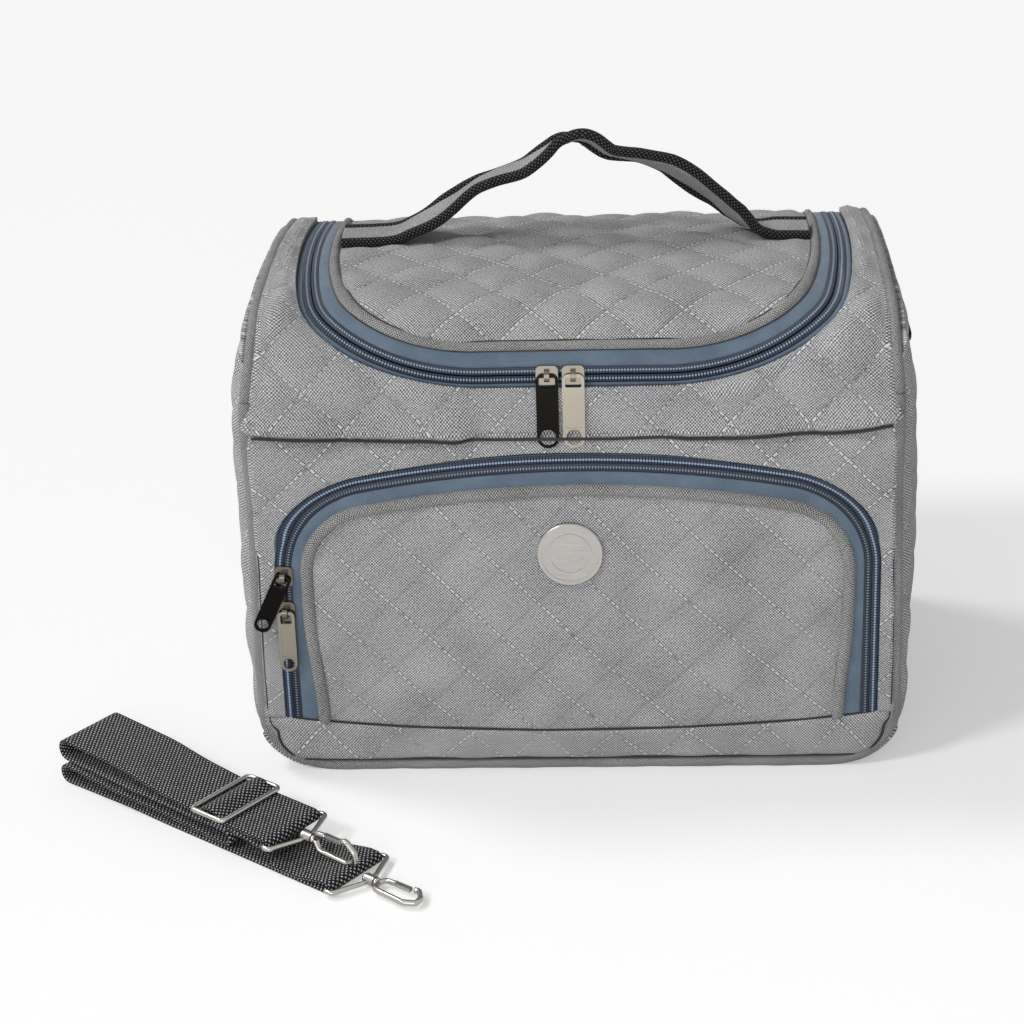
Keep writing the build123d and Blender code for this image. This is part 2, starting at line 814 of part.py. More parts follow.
handle_front = handle_y - handle_width / 2
handle_back = handle_y + handle_width / 2
flex_low = handle_x - handle_flex
flex_high = handle_x + handle_flex
for name, low_y, high_y, thickness in (
    ("handle_strap", handle_front + binding_width, handle_back - binding_width, handle_thickness),
    ("handle_front_binding", handle_front, handle_front + binding_width, binding_thickness),
    ("handle_rear_binding", handle_back - binding_width, handle_back, binding_thickness),
):
    save(between(handle_band(low_y, high_y, thickness), flex_low, flex_high), name)

sewn_end = lid_zip_half_width - inner_tape - handle_end_gap
for name, low_x, high_x in (
    ("handle_left_end", -sewn_end, flex_low - seam_gap),
    ("handle_right_end", flex_high + seam_gap, sewn_end),
):
    flat_low = low_x if high_x < 0 else handle_x + handle_half_span
    flat_high = handle_x - handle_half_span if high_x < 0 else high_x
    with BuildPart() as end:
        add(between(handle_band(handle_front, handle_back, binding_thickness), low_x, high_x))
        with BuildSketch(Plane.XY.offset(handle_foot_z - binding_thickness)):
            with Locations(((flat_low + flat_high) / 2, handle_y)):
                Rectangle(flat_high - flat_low, handle_width)
        extrude(amount=binding_thickness)
        extrude(side_face(0, 0), amount=half_width, both=True, mode=Mode.SUBTRACT)
    save(end.part, name)


# Side rings on webbing tabs.
def cheek_x(z):
    """Distance of the bulged side from the middle at height z, on its centre line."""
    centre = half_width + side_bulge - cheek_upright_radius
    return centre + sqrt(cheek_upright_radius**2 - (z - cheek_middle) ** 2)


loop_radius = ring_wire + running_gap + ring_tab_thickness / 2
ring_bar_x = cheek_x(ring_bar_z) + ring_tab_thickness + running_gap * 2 + ring_wire
tab_inner = ring_tab_thickness / 2 + running_gap
tab_outer = tab_inner + ring_tab_thickness
for name, side in (("left", -1), ("right", 1)):
    loop_near = side * (ring_bar_x - loop_radius)
    loop_far = side * (ring_bar_x + loop_radius)
    points = (
        (side * (cheek_x(ring_tab_top) + tab_inner), ring_tab_top),
        (loop_near, ring_bar_z + loop_radius),
        (loop_near, ring_bar_z - loop_radius),
        (loop_far, ring_bar_z - loop_radius),
        (loop_far, ring_bar_z + loop_radius),
        (side * (cheek_x(ring_tab_sewn) + tab_outer), ring_tab_sewn),
    )
    radii = [loop_radius, loop_radius * loop_round, loop_radius * loop_round, loop_radius * 2]
    tab = ribbon(Plane.XZ, points, radii, ring_tab_width, ring_tab_thickness)
    save(tab, f"{name}_ring_tab")

    lean = radians(ring_tilt)
    drop_dir = Vector(side * sin(lean), 0, -cos(lean))
    ring_plane = Plane(
        origin=(side * ring_bar_x, 0, ring_bar_z),
        x_dir=(0, 1, 0),
        z_dir=Vector(0, 1, 0).cross(drop_dir),
    )
    half_ring = ring_inner_width / 2 + ring_wire
    points = (
        (half_ring, 0),
        (half_ring, ring_drop),
        (-half_ring, ring_drop),
        (-half_ring, 0),
    )
    bend = half_ring * 0.8
    radii = [2 * ring_wire, bend, bend, 2 * ring_wire]
    save(wire_loop(ring_plane, points, radii, ring_wire), f"{name}_ring")


# Shoulder strap: a flat hank of webbing beside the case, with a buckle and a snap hook at each end.
strap_turn = radians(strap_angle)
strap_run = Vector(cos(strap_turn), sin(strap_turn), 0)
strap_across = Vector(-sin(strap_turn), cos(strap_turn), 0)
up = Vector(0, 0, 1)


def strap_point(u, z):
    """Point on the strap's middle line, u along it from its left end."""
    return Vector(strap_x, strap_y, z) + strap_run * u


wrap = frame_wire + running_gap + webbing / 2
upper_line = buckle_bar_z - wrap
stitched = layer_four + webbing + running_gap / 2
left_bend = (layer_three_left - layer_four) / 2 * fold_round
top_bend = (layer_one_left - layer_two_left) / 2 * fold_round
right_bend = (layer_two_right - layer_three_right) / 2 * fold_round
tight = wrap * loop_round
route = (
    ((near_hook_u - near_tail, layer_two_right + webbing + running_gap), 0),
    ((near_hook_u - near_tail / 2, layer_two_right + webbing + running_gap), 4 * wrap),
    ((near_hook_u - 2 * wrap, near_hook_z - wrap), 4 * wrap),
    ((near_hook_u + wrap, near_hook_z - wrap), tight),
    ((near_hook_u + wrap, near_hook_z + wrap), tight),
    ((near_hook_u - 2 * wrap, near_hook_z + wrap), 4 * wrap),
    ((buckle_u + 4 * wrap, upper_line), 4),
    ((buckle_u + wrap, buckle_bar_z + wrap), 2),
    ((buckle_u - wrap, buckle_bar_z + wrap), 2),
    ((buckle_u - 4 * wrap, upper_line), 4),
    ((strap_left + 50, layer_one_left - 3.5), 60),
    ((strap_left, layer_one_left), top_bend),
    ((strap_left, layer_two_left), top_bend),
    ((strap_right_fold, layer_two_right), right_bend),
    ((strap_right_fold, layer_three_right), right_bend),
    ((strap_left + 2, layer_three_left), left_bend),
    ((strap_left + 2, layer_four), left_bend),
    ((far_hook_u + wrap, layer_four), tight),
    ((far_hook_u + wrap, layer_four + 2 * wrap), tight),
    ((far_hook_u - 2 * wrap, layer_four + 2 * wrap), 4 * wrap),
    ((far_hook_u - 20, stitched), 10),
    ((far_hook_u - 40, stitched), 0),
)
strap_plane = Plane(origin=strap_point(0, 0), x_dir=strap_run, z_dir=strap_run.cross(up))
shoulder_webbing = ribbon(
    strap_plane,
    [point for point, radius in route],
    [radius for point, radius in route[1:-1]],
    webbing_width,
    webbing,
)
save(shoulder_webbing, "shoulder_webbing")

frame_half = webbing_width / 2 + running_gap + frame_wire
buckle_plane = Plane(origin=strap_point(buckle_u, buckle_bar_z), x_dir=strap_run, z_dir=up)
buckle_points = (
    (-buckle_length / 2, -frame_half),
    (-buckle_length / 2, frame_half),
    (buckle_length / 2, frame_half),
    (buckle_length / 2, -frame_half),
)
with BuildPart() as buckle:
    add(wire_loop(buckle_plane, buckle_points, 2 * frame_wire, frame_wire))
    with BuildSketch(
        Plane(origin=buckle_plane.from_local_coords((0, -frame_half, 0)), z_dir=strap_across)
    ):
        Circle(frame_wire)
    extrude(amount=2 * frame_half)
save(buckle.part, "strap_buckle")


barrel_start = frame_depth - frame_wire - running_gap


def swivel_frame(place):
    """Wire frame that holds the webbing's end, with the barrel that the hook turns in."""
    points = (
        (0, -frame_half),
        (0, frame_half),
        (frame_arm, frame_half),
        (frame_depth, frame_neck / 2),
        (frame_depth, -frame_neck / 2),
        (frame_arm, -frame_half),
    )
    barrel_plane = Plane(origin=place.from_local_coords((barrel_start, 0, 0)), z_dir=place.x_dir)
    with BuildPart() as frame:
        add(wire_loop(place, points, 1.6 * frame_wire, frame_wire))
        with BuildSketch(barrel_plane):
            Circle(barrel_radius)
        extrude(amount=barrel_length)
        with BuildSketch(barrel_plane.offset(-frame_wire)):
            Circle(stem_radius + stem_gap)
        extrude(amount=barrel_length + 2 * frame_wire, mode=Mode.SUBTRACT)
    return frame.part


head_start = barrel_start - running_gap - head_thickness
collar_start = barrel_start + barrel_length + running_gap
ring_start = collar_start + collar_length / 2
ring_middle = ring_start + hook_length / 2
side_line = (hook_width - hook_wire) / 2
gate_start = ring_middle - gate_length / 2
gate_pivot = gate_start + hook_wire / 2 + running_gap


def snap_hook(place):
    """Flat snap hook on a headed stem, with ears and a pin for its gate."""
    along = Plane(origin=place.from_local_coords((head_start, 0, 0)), z_dir=place.x_dir)
    with BuildPart() as hook:
        with BuildSketch(along):
            Circle(head_radius)
        extrude(amount=head_thickness)
        with BuildSketch(along):
            Circle(stem_radius)
        extrude(amount=collar_start - head_start + collar_length / 2)
        with BuildSketch(along.offset(collar_start - head_start)):
            Circle(head_radius)
        extrude(amount=collar_length)
        with BuildSketch(place):
            with Locations((ring_middle, 0)):
                SlotOverall(hook_length, hook_width)
                SlotOverall(
                    hook_length - 2 * hook_wire, hook_width - 2 * hook_wire, mode=Mode.SUBTRACT
                )
        extrude(amount=hook_thickness / 2, both=True)
        with BuildSketch(place):
            with Locations((ring_middle + hook_wire, side_line)):
                Rectangle(gate_length - 2 * hook_wire, 2 * hook_wire)
        extrude(amount=hook_thickness, both=True, mode=Mode.SUBTRACT)
        with BuildSketch(place):
            with Locations((ring_middle, side_line)):
                Rectangle(gate_length, 2 * hook_wire)
        extrude(amount=gate_thickness / 2 + stem_gap, both=True, mode=Mode.SUBTRACT)
        with BuildSketch(place):
            with Locations((gate_pivot, side_line)):
                Circle(gate_pin)
        extrude(amount=hook_thickness / 2, both=True)
    return hook.part


def snap_gate(place):
    """Sprung gate that closes the hook's open side."""
    with BuildPart() as gate:
        with BuildSketch(place):
            with Locations((gate_pivot, side_line)):
                Circle(hook_wire / 2)
            reach = gate_start + gate_length - running_gap - gate_pivot
            with Locations((gate_pivot + reach / 2, side_line)):
                Rectangle(reach, hook_wire)
            with Locations((gate_pivot, side_line)):
                Circle(gate_pin + stem_gap, mode=Mode.SUBTRACT)
        extrude(amount=gate_thickness / 2, both=True)
    return gate.part


for name, u, z, roll in (
    ("near", near_hook_u, near_hook_z, radians(near_hook_roll)),
    ("far", far_hook_u, layer_four + wrap, 0.0),
):
    flat = Plane(origin=strap_point(u, z), x_dir=strap_run, z_dir=up)
    rolled = Plane(
        origin=strap_point(u, z),
        x_dir=strap_run,
        z_dir=up * cos(roll) + strap_run.cross(up) * sin(roll),
    )
    save(swivel_frame(flat), f"{name}_frame")
    save(snap_hook(rolled), f"{name}_hook")
    save(snap_gate(rolled), f"{name}_gate")
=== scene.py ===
"""Looks of the vanity case: quilted cloth, zips, piping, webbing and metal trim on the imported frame.

Shapes are worked out in millimetres in the frame's axes and written to the meshes in metres.
"""

from math import asin, atan2, cos, pi, radians, sin, sqrt

import bpy
import numpy as np
from mathutils import Matrix


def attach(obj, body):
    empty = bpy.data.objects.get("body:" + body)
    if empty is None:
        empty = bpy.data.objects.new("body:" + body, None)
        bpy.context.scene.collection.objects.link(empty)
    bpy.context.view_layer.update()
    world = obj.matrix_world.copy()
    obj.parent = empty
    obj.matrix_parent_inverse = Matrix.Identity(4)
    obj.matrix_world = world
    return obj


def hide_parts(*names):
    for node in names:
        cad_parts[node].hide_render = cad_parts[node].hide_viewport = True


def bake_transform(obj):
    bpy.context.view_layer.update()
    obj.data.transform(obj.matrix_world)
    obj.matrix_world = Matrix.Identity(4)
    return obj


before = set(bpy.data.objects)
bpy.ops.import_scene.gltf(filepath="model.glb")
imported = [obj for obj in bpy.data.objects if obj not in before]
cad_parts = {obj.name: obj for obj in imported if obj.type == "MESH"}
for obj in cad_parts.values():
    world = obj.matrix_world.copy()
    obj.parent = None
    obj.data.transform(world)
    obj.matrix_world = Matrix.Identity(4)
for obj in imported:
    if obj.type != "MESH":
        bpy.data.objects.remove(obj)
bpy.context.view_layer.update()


# ---- small helpers
def smooth(t):
    t = np.clip(t, 0, 1)
    return t * t * (3 - 2 * t)


def stack(x, y, z):
    return np.stack(np.broadcast_arrays(x, y, z), -1).astype(float)


def pattern(u, v):
    """Pattern coordinates of a grid."""
    return np.stack(np.broadcast_arrays(u, v), -1).astype(float)


def run_length(path):
    """Length along a line of points, from 0 at its start."""
    return np.concatenate([[0], np.cumsum(np.linalg.norm(np.diff(path, axis=0), axis=1))])


def between(low, high, n, low_2, high_2, n_2):
    """Two even rows of numbers as a grid."""
    return np.meshgrid(np.linspace(low, high, n), np.linspace(low_2, high_2, n_2), indexing="ij")


ARC_STEP = 0.25


def arc_points(cy, cz, radius, start, end):
    """Points and outward normals of an arc in the YZ plane, angles in degrees."""
    n = max(2, int(abs(radians(end - start)) * radius / ARC_STEP))
    a = np.radians(np.linspace(start, end, n))
    return np.stack([cy + radius * np.cos(a), cz + radius * np.sin(a), np.cos(a), np.sin(a)], -1)


# ---- the case's skin
FRONT_Y, BACK_Y, SIDE_X, EDGE_X = -103.0, 103.0, 160.0, 157.0
SKIN_FOOT = 5  # the height at which the skin starts, at the front and at the back
FOOT_R = 32  # rounding of the lower corners
CROWN = (-20.0, -248.0, 500.0)  # the top's arc: y and z of its centre, and its radius


def beside_crown(y, radius):
    """The arc with its centre at y that runs on smoothly from the crown's."""
    return y, CROWN[1] + sqrt((CROWN[2] - radius) ** 2 - (y - CROWN[0]) ** 2), radius


SHOULDER, REAR = beside_crown(-65.0, 38.0), beside_crown(83.0, 20.0)
A1 = np.degrees(atan2(SHOULDER[1] - CROWN[1], SHOULDER[0] - CROWN[0]))
A2 = np.degrees(atan2(REAR[1] - CROWN[1], REAR[0] - CROWN[0]))


def skin_table():
    """Front, top and back of the case as one line seen from the side: y, z and outward normal."""

    def wall(y, z):
        return stack(y, z, np.sign(y)), np.zeros((len(z), 1))

    front, back = wall(FRONT_Y, np.arange(SKIN_FOOT, SHOULDER[1], 0.5)), wall(BACK_Y, DOWN_BACK)
    arcs = [arc_points(*SHOULDER, 180, A1), arc_points(*CROWN, A1, A2), arc_points(*REAR, A2, 0)]
    return np.vstack([np.hstack(front), *arcs, np.hstack(back)])


DOWN_BACK = np.arange(REAR[1], SKIN_FOOT, -0.5)
SKIN = skin_table()
SKIN_S = run_length(SKIN[:, :2])
ZIP_TILT = radians(12)
SKIN_W = SKIN[:, 0] * sin(ZIP_TILT) + SKIN[:, 1] * cos(ZIP_TILT)


CORNER_FORWARD = 10.0
BOW = (7.5, 5.0)  # of the left and the right edges, near the foot
BOW_FROM = 153.6  # x at which the bow begins, beside the zips


def lean(p):
    """The soft case: its upper front corners stand forward, and its upright edges bow out to the sides."""
    x, y, z = p[..., 0], p[..., 1], p[..., 2]
    corner = np.minimum((np.abs(x) / EDGE_X) ** 3, 1.15)
    forward = CORNER_FORWARD * corner * smooth((z - 125) / 90) * smooth((-30 - y) / 62)
    inner = BOW_FROM - 34 * smooth((26 - z) / 26) - 43 * smooth((z - 122) / 50)
    bow = np.where(x < 0, *BOW) - 2.5 * smooth((z - 60) / 120)
    bow *= smooth((np.abs(x) - inner) / (EDGE_X - inner)) * smooth((246 - z) / 50)
    return np.stack([x + np.sign(x) * bow * smooth(np.abs(y) / 95), y - forward, z], -1)


def skin(x, s, h=0.0):
    """Point over the front, top or back of the case, s along its side line and h proud of it."""
    y, z, ny, nz = (np.interp(s, SKIN_S, SKIN[:, k]) for k in range(4))
    return lean(stack(x, y + h * ny, z + h * nz))


S_FRONT_TOP = SHOULDER[1] - SKIN_FOOT
S_BACK = float(SKIN_S[len(SKIN) - len(DOWN_BACK)])
S_HINGE = S_BACK - 26.4
S_END = float(SKIN_S[-1])
UPTO = int(np.argmax(SKIN_W))
FRONT_AND_TOP = SKIN[:-400]


def top_z(y):
    """Height of the case's top over y."""
    return np.interp(y, FRONT_AND_TOP[:, 0], FRONT_AND_TOP[:, 1])


def s_of_w(w):
    return np.interp(w, SKIN_W[:UPTO], SKIN_S[:UPTO])


def w_of_s(s):
    return np.interp(s, SKIN_S, SKIN_W)


def ripple(u, v, seed, size=45.0):
    """Slow uneven waves, -1 to 1, for cloth that isn't quite flat."""
    rng = np.random.default_rng(seed)
    total = 0
    for k in range(5):
        a, ph = rng.uniform(0, pi), rng.uniform(0, 2 * pi)
        f = 2 * pi / (size * rng.uniform(0.6, 1.6))
        total = total + np.sin((u * cos(a) + v * sin(a)) * f + ph)
    return total / 3.2


PITCH = 27.0  # of the quilting
GRID = 2.4  # spacing of the points in the finer panels


def puff(u, v, amount=2.3):
    """Height of quilted cloth: pillows between two families of stitched lines."""
    wob = 1.2 * np.sin(u / 31 + 1) + 1.0 * np.sin(v / 37)
    p, q = (u + v + wob) / sqrt(2), (u - v + wob) / sqrt(2)
    return amount * np.abs(np.sin(pi * p / PITCH) * np.sin(pi * q / PITCH)) ** 0.55


# ---- the front pocket's skin
BAND_Z = 26  # the band's upper edge before pocket() gives its seam the curve of seam_z()


def seam_z(x):
    """Height of the seam between the base band and the pocket."""
    return 24.2 + 0.00036 * np.asarray(x, float) ** 2


BLEND = 0.9


def swell(x, z):
    """How far the pocket stands before the front: the lesser of two curves, blended where they cross."""
    plan = 12.0 - np.asarray(x, float) ** 2 / 3168.1
    side = 11.0 - (np.asarray(z, float) - 97.5) ** 2 / 1124.2
    return -BLEND * np.log(np.exp(-plan / BLEND) + np.exp(-side / BLEND))


def pocket(x, z, h=0.0):
    """Point over the pocket's skin, h proud of it."""
    x, z, h = (k.astype(float) for k in np.broadcast_arrays(x, z, h))
    below, above = (z - SKIN_FOOT) / (BAND_Z - SKIN_FOOT), np.clip(1 - (z - BAND_Z) / 60, 0, 1)
    shift = (seam_z(x) - BAND_Z) * np.where(z < BAND_Z, below, above)
    t = swell(x, z)
    tx = swell(x + 0.5, z) - swell(x - 0.5, z)
    tz = swell(x, z + 0.5) - swell(x, z - 0.5)
    length = np.sqrt(tx**2 + 1 + tz**2)
    return lean(stack(x - h * tx / length, FRONT_Y - t - h / length, z + shift - h * tz / length))


# ---- zip outlines
SHOULDER_Y = SHOULDER[0] - SHOULDER[2] * cos(ZIP_TILT)
SHOULDER_Z = SHOULDER[1] + SHOULDER[2] * sin(ZIP_TILT)
LID_LINE = SHOULDER_Y * sin(ZIP_TILT) + SHOULDER_Z * cos(ZIP_TILT)
SIDE_R, SIDE_CX = 45, 93  # the arcs that the lid's zip line turns in at its sides, and their centres' x
FRONT_R, FRONT_CX = 120, 45  # the wider arcs towards its middle
FRONT_ARC_W = LID_LINE + FRONT_R
SIDE_ARC_W = FRONT_ARC_W - sqrt((FRONT_R - SIDE_R) ** 2 - (SIDE_CX - FRONT_CX) ** 2)
TURN = atan2(FRONT_ARC_W - SIDE_ARC_W, SIDE_CX - FRONT_CX)


def inner_share(g):
    """0 from the coil outwards, 1 at the tape's inner edge: the tape turns up there and shows less."""
    return min(1.0, max(0.0, (-3 - g) / 10.5))


def lid_line(g):
    """The lid's zip line moved out by g: x and s from the left hinge round the front to the right."""

    def shown(start, end, n):
        return g + np.linspace(start, end, n) * inner_share(g)

    s_side = np.linspace(S_HINGE, s_of_w(SIDE_ARC_W - 15), 300, endpoint=False)
    side, turn = SIDE_R + shown(5.4, 5.0, 300), SIDE_R + shown(5.0, 4.0, 120)
    front = FRONT_R + shown(4.0, 1.7, 300)
    x_side = SIDE_CX + np.sqrt(side**2 - (SIDE_ARC_W - w_of_s(s_side)) ** 2)
    a = np.linspace(asin(15 / turn[0]), TURN, 120, endpoint=False)
    b = np.linspace(TURN, pi / 2, 300, endpoint=False)
    x_half = np.concatenate([x_side, SIDE_CX + turn * np.cos(a), FRONT_CX + front * np.cos(b)])
    w_half = np.concatenate([SIDE_ARC_W - turn * np.sin(a), FRONT_ARC_W - front * np.sin(b)])
    s_half = np.concatenate([s_side, s_of_w(w_half)])
    x_mid = np.linspace(-FRONT_CX, FRONT_CX, 181)
    s_mid = s_of_w(LID_LINE - shown(1.7, 1.7, 181))
    return np.concatenate([-x_half, x_mid, x_half[::-1]]), np.concatenate([s_half, s_mid, s_half[::-1]])


POCKET_HALF, CORNER = 149, 50.0  # half the pocket zip's width, and its corners' radius
TOP_R, TOP_CZ = 640, -465  # the arc over the pocket, and its centre's height
SIDE_CUT, TOP_CUT = 4.5, 2.0  # what the inner tape loses at the sides and at the top


def pocket_line(g):
    """The pocket's zip line moved out by g: x and z from the left foot over the top to the right."""
    cx = POCKET_HALF - CORNER
    cz = TOP_CZ + sqrt((TOP_R - CORNER) ** 2 - cx**2)
    turn = atan2(cz - TOP_CZ, cx)
    z_side = np.linspace(BAND_Z, cz, 200, endpoint=False)
    a = np.linspace(0, turn, 160, endpoint=False)
    b = np.linspace(turn, pi - turn, 401)
    share = inner_share(g)
    side = POCKET_HALF + g + SIDE_CUT * smooth((z_side - BAND_Z) / 70) * share
    bend = CORNER + g + np.linspace(SIDE_CUT, TOP_CUT, 160) * share
    x_half = np.concatenate([side, cx + bend * np.cos(a)])
    z_half = np.concatenate([z_side, cz + bend * np.sin(a)])
    top = TOP_R + g + TOP_CUT * share
    x_top, z_top = top * np.cos(b[::-1]), TOP_CZ + top * np.sin(b[::-1])
    return np.concatenate([-x_half, x_top, x_half[::-1]]), np.concatenate([z_half, z_top, z_half[::-1]])


def along(line, g, t):
    """Place on a zip line at share t of its points, 0 to 1."""
    a, b = line(g)
    at = np.asarray(t) * (len(a) - 1)
    k = np.arange(len(a))
    return np.interp(at, k, a), np.interp(at, k, b)


def even(line, surface, g, step):
    """Shares of a zip line evenly spaced by real length, and that length at each."""
    t = np.linspace(0, 1, 4000)
    p = surface(*along(line, g, t))
    length = run_length(p)
    want = np.linspace(0, length[-1], max(2, int(round(length[-1] / step)) + 1))
    return np.interp(want, length, t), want


def put_in_scene(name, data, location=(0, 0, 0), turn=(0, 0, 0)):
    """An object of this data; the turn is in degrees."""
    ob = bpy.data.objects.new(name, data)
    ob.location = location
    ob.rotation_euler = [radians(k) for k in turn]
    bpy.context.scene.collection.objects.link(ob)
    return ob


class Mesh:
    """Collects grids of points in millimetres, with pattern coordinates in millimetres."""

    def __init__(self):
        self.points, self.faces, self.uvs, self.count = [], [], [], 0

    def grid(self, p, uv, wrap=False, flip=False):
        n, m = p.shape[:2]
        idx = np.arange(n * m).reshape(n, m) + self.count
        if wrap:
            idx = np.hstack([idx, idx[:, :1]])
        quads = np.stack([idx[:-1, :-1], idx[1:, :-1], idx[1:, 1:], idx[:-1, 1:]], -1).reshape(-1, 4)
        uvq = np.stack([uv[:-1, :-1], uv[1:, :-1], uv[1:, 1:], uv[:-1, 1:]], 2).reshape(-1, 4, 2)
        if flip:
            quads, uvq = quads[:, ::-1], uvq[:, ::-1]
        self.points.append(p.reshape(-1, 3))
        self.faces.append(quads)
        self.uvs.append(uvq)
        self.count += n * m
        return idx

    def sweep(self, path, a, b, section, flip=False):
        """A closed section (two columns, along a and b) carried along a path, its ends closed."""
        section = np.asarray(section, float)
        if section.ndim == 2:
            section = np.repeat(section[None], len(path), 0)
        p = path[:, None] + section[..., :1] * a[:, None] + section[..., 1:] * b[:, None]
        around = run_length(np.concatenate([section[0], section[0, :1]]))
        idx = self.grid(p, pattern(run_length(path)[:, None], around[None]), wrap=True, flip=flip)
        for ring in (idx[0, :-1], idx[-1, :-1][::-1]):
            half = len(ring) // 2
            left, right = ring[:half], ring[half : 2 * half][::-1]
            quads = np.stack([left[:-1], left[1:], right[1:], right[:-1]], -1)
            self.faces.append(quads[:, ::-1] if flip else quads)
            self.uvs.append(np.zeros((len(quads), 4, 2)))

    def make(self, name, body, material, slot, replaces=(), thick=0.0):
        """The piece itself, thickened outwards, on its body unless that is None."""
        points = np.concatenate(self.points) / 1000
        faces = np.concatenate(self.faces)
        uvs = np.concatenate(self.uvs) / 1000
        data = bpy.data.meshes.new(name)
        data.vertices.add(len(points))
        data.vertices.foreach_set("co", points.ravel())
        data.loops.add(faces.size)
        data.loops.foreach_set("vertex_index", faces.ravel())
        data.polygons.add(len(faces))
        data.polygons.foreach_set("loop_start", np.arange(len(faces)) * 4)
        data.update(calc_edges=True)
        layer = data.uv_layers.new(name="UVMap")
        layer.data.foreach_set("uv", uvs.ravel())
        data.validate()
        data.shade_smooth()
        data.materials.append(material)
        piece = put_in_scene(name, data)
        if thick:
            shell = piece.modifiers.new("Thickness", "SOLIDIFY")
            shell.thickness = thick / 1000
            shell.offset = -1
            shell.use_even_offset = False
        if body:
            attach(piece, body)
        if replaces:
            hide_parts(*replaces)
        return piece


def circle(radius, n=10):
    a = np.linspace(0, 2 * pi, n, endpoint=False)
    return np.stack([radius * np.cos(a), radius * np.sin(a)], -1)


def frames(path, ref):
    """Two axes across a path: one as near as can be to ref, one square to it and to the path."""
    t = np.gradient(path, axis=0)
    t /= np.linalg.norm(t, axis=1, keepdims=True)
    a = np.broadcast_to(np.asarray(ref, float), path.shape)
    a = a - (a * t).sum(1, keepdims=True) * t
    a /= np.linalg.norm(a, axis=1, keepdims=True)
    return a, np.cross(t, a)


def rounded(points, radii, step=1.0):
    """A line through points with its corners turned into arcs, in evenly spaced points."""
    points = [np.asarray(p, float) for p in points]
    out = [points[0]]
    for before, corner, after, radius in zip(points, points[1:], points[2:], radii):
        u = (before - corner) / np.linalg.norm(before - corner)
        v = (after - corner) / np.linalg.norm(after - corner)
        half = np.arccos(np.clip(u @ v, -1, 1)) / 2
        if radius <= 0 or half > 1.565:
            out.append(corner)
            continue
        reach = radius / np.tan(half)
        middle = corner + (u + v) / np.linalg.norm(u + v) * radius / np.sin(half)
        start, end = corner + u * reach, corner + v * reach
        turn = pi - 2 * half
        n = max(3, int(turn * radius / 0.4) + 2)
        e1 = (start - middle) / radius
        e2 = (end - middle) / radius - e1 * ((end - middle) / radius @ e1)
        e2 /= np.linalg.norm(e2)
        out += [middle + radius * (cos(k) * e1 + sin(k) * e2) for k in np.linspace(0, turn, n)]
    out.append(points[-1])
    out = np.array(out)
    length = run_length(out)
    keep = np.concatenate([[True], np.diff(length) > 1e-6])
    want = np.linspace(0, length[-1], int(length[-1] / step) + 2)
    return np.stack([np.interp(want, length[keep], out[keep][:, k]) for k in range(out.shape[1])], -1)


def relax(path, passes):
    """Softens a line's corners, its ends held."""
    path = path.copy()
    for _ in range(passes):
        path[1:-1] = (path[:-2] + 2 * path[1:-1] + path[2:]) / 4
    return path


# ---- materials
def add_node(tree, kind, *values, **settings):
    """A shader node; values fill its inputs in order: sockets are linked, others are set, None is left."""
    node = tree.nodes.new(f"ShaderNode{kind}")
    for key, value in settings.items():
        setattr(node, key, value)
    for value, socket in zip(values, node.inputs):
        if isinstance(value, bpy.types.NodeSocket):
            tree.links.new(value, socket)
        elif value is not None:
            socket.default_value = value
    return node


class Material:
    """A procedural material; pattern coordinates u and v are in millimetres."""

    def __init__(self, name, rough=0.8, metal=0.0, coords="UV", **sockets):
        self.material = bpy.data.materials.new(name)
        self.material.use_nodes = True
        self.tree = self.material.node_tree
        self.shader = self.tree.nodes["Principled BSDF"]
        for key, value in dict(sockets, Roughness=rough, Metallic=metal).items():
            self.shader.inputs[key.replace("_", " ")].default_value = value
        if coords == "UV":
            source = add_node(self.tree, "UVMap").outputs[0]
        else:
            source = add_node(self.tree, "TexCoord").outputs["Object"]
        scale = add_node(self.tree, "VectorMath", source, operation="SCALE")
        scale.inputs["Scale"].default_value = 1000
        self.place = scale.outputs[0]
        self.u, self.v, self.w = add_node(self.tree, "SeparateXYZ", self.place).outputs

    def math(self, op, a, b=0.0):
        return add_node(self.tree, "Math", a, b, operation=op).outputs[0]

    def add(self, a, b):
        return self.math("ADD", a, b)

    def mul(self, a, b):
        return self.math("MULTIPLY", a, b)

    def step(self, value, low, high):
        """0 below low and 1 above high (or the other way round), smooth between."""
        reach = (low, high, 0.0, 1.0) if low < high else (high, low, 1.0, 0.0)
        return add_node(self.tree, "MapRange", value, *reach, interpolation_type="SMOOTHSTEP").outputs[0]

    def vector(self, x, y, z=0.0):
        return add_node(self.tree, "CombineXYZ", x, y, z).outputs[0]

    def noise(self, vector, scale=1.0, detail=2.0, rough=0.5):
        return add_node(self.tree, "TexNoise", vector, None, scale, detail, rough).outputs["Fac"]

    def mix(self, factor, a, b):
        a, b = ((*k, 1.0) if isinstance(k, tuple) else k for k in (a, b))
        return add_node(self.tree, "Mix", factor, *[None] * 5, a, b, data_type="RGBA").outputs[2]

    def colour(self, value):
        self.tree.links.new(value, self.shader.inputs["Base Color"])

    def roughness(self, value):
        self.tree.links.new(value, self.shader.inputs["Roughness"])

    def bump(self, height, distance):
        """Height from 0 to 1 raised by a distance in millimetres."""
        node = add_node(self.tree, "Bump", 1.0, distance / 1000)
        self.tree.links.new(height, node.inputs["Height"])
        self.tree.links.new(node.outputs[0], self.shader.inputs["Normal"])

    def wave(self, value, pitch):
        """Sine of a coordinate with a given pitch."""
        return self.math("SINE", self.mul(value, 2 * pi / pitch))

    def near(self, value, pitch):
        """Distance to the nearest multiple of pitch."""
        return self.math("PINGPONG", value, pitch / 2)


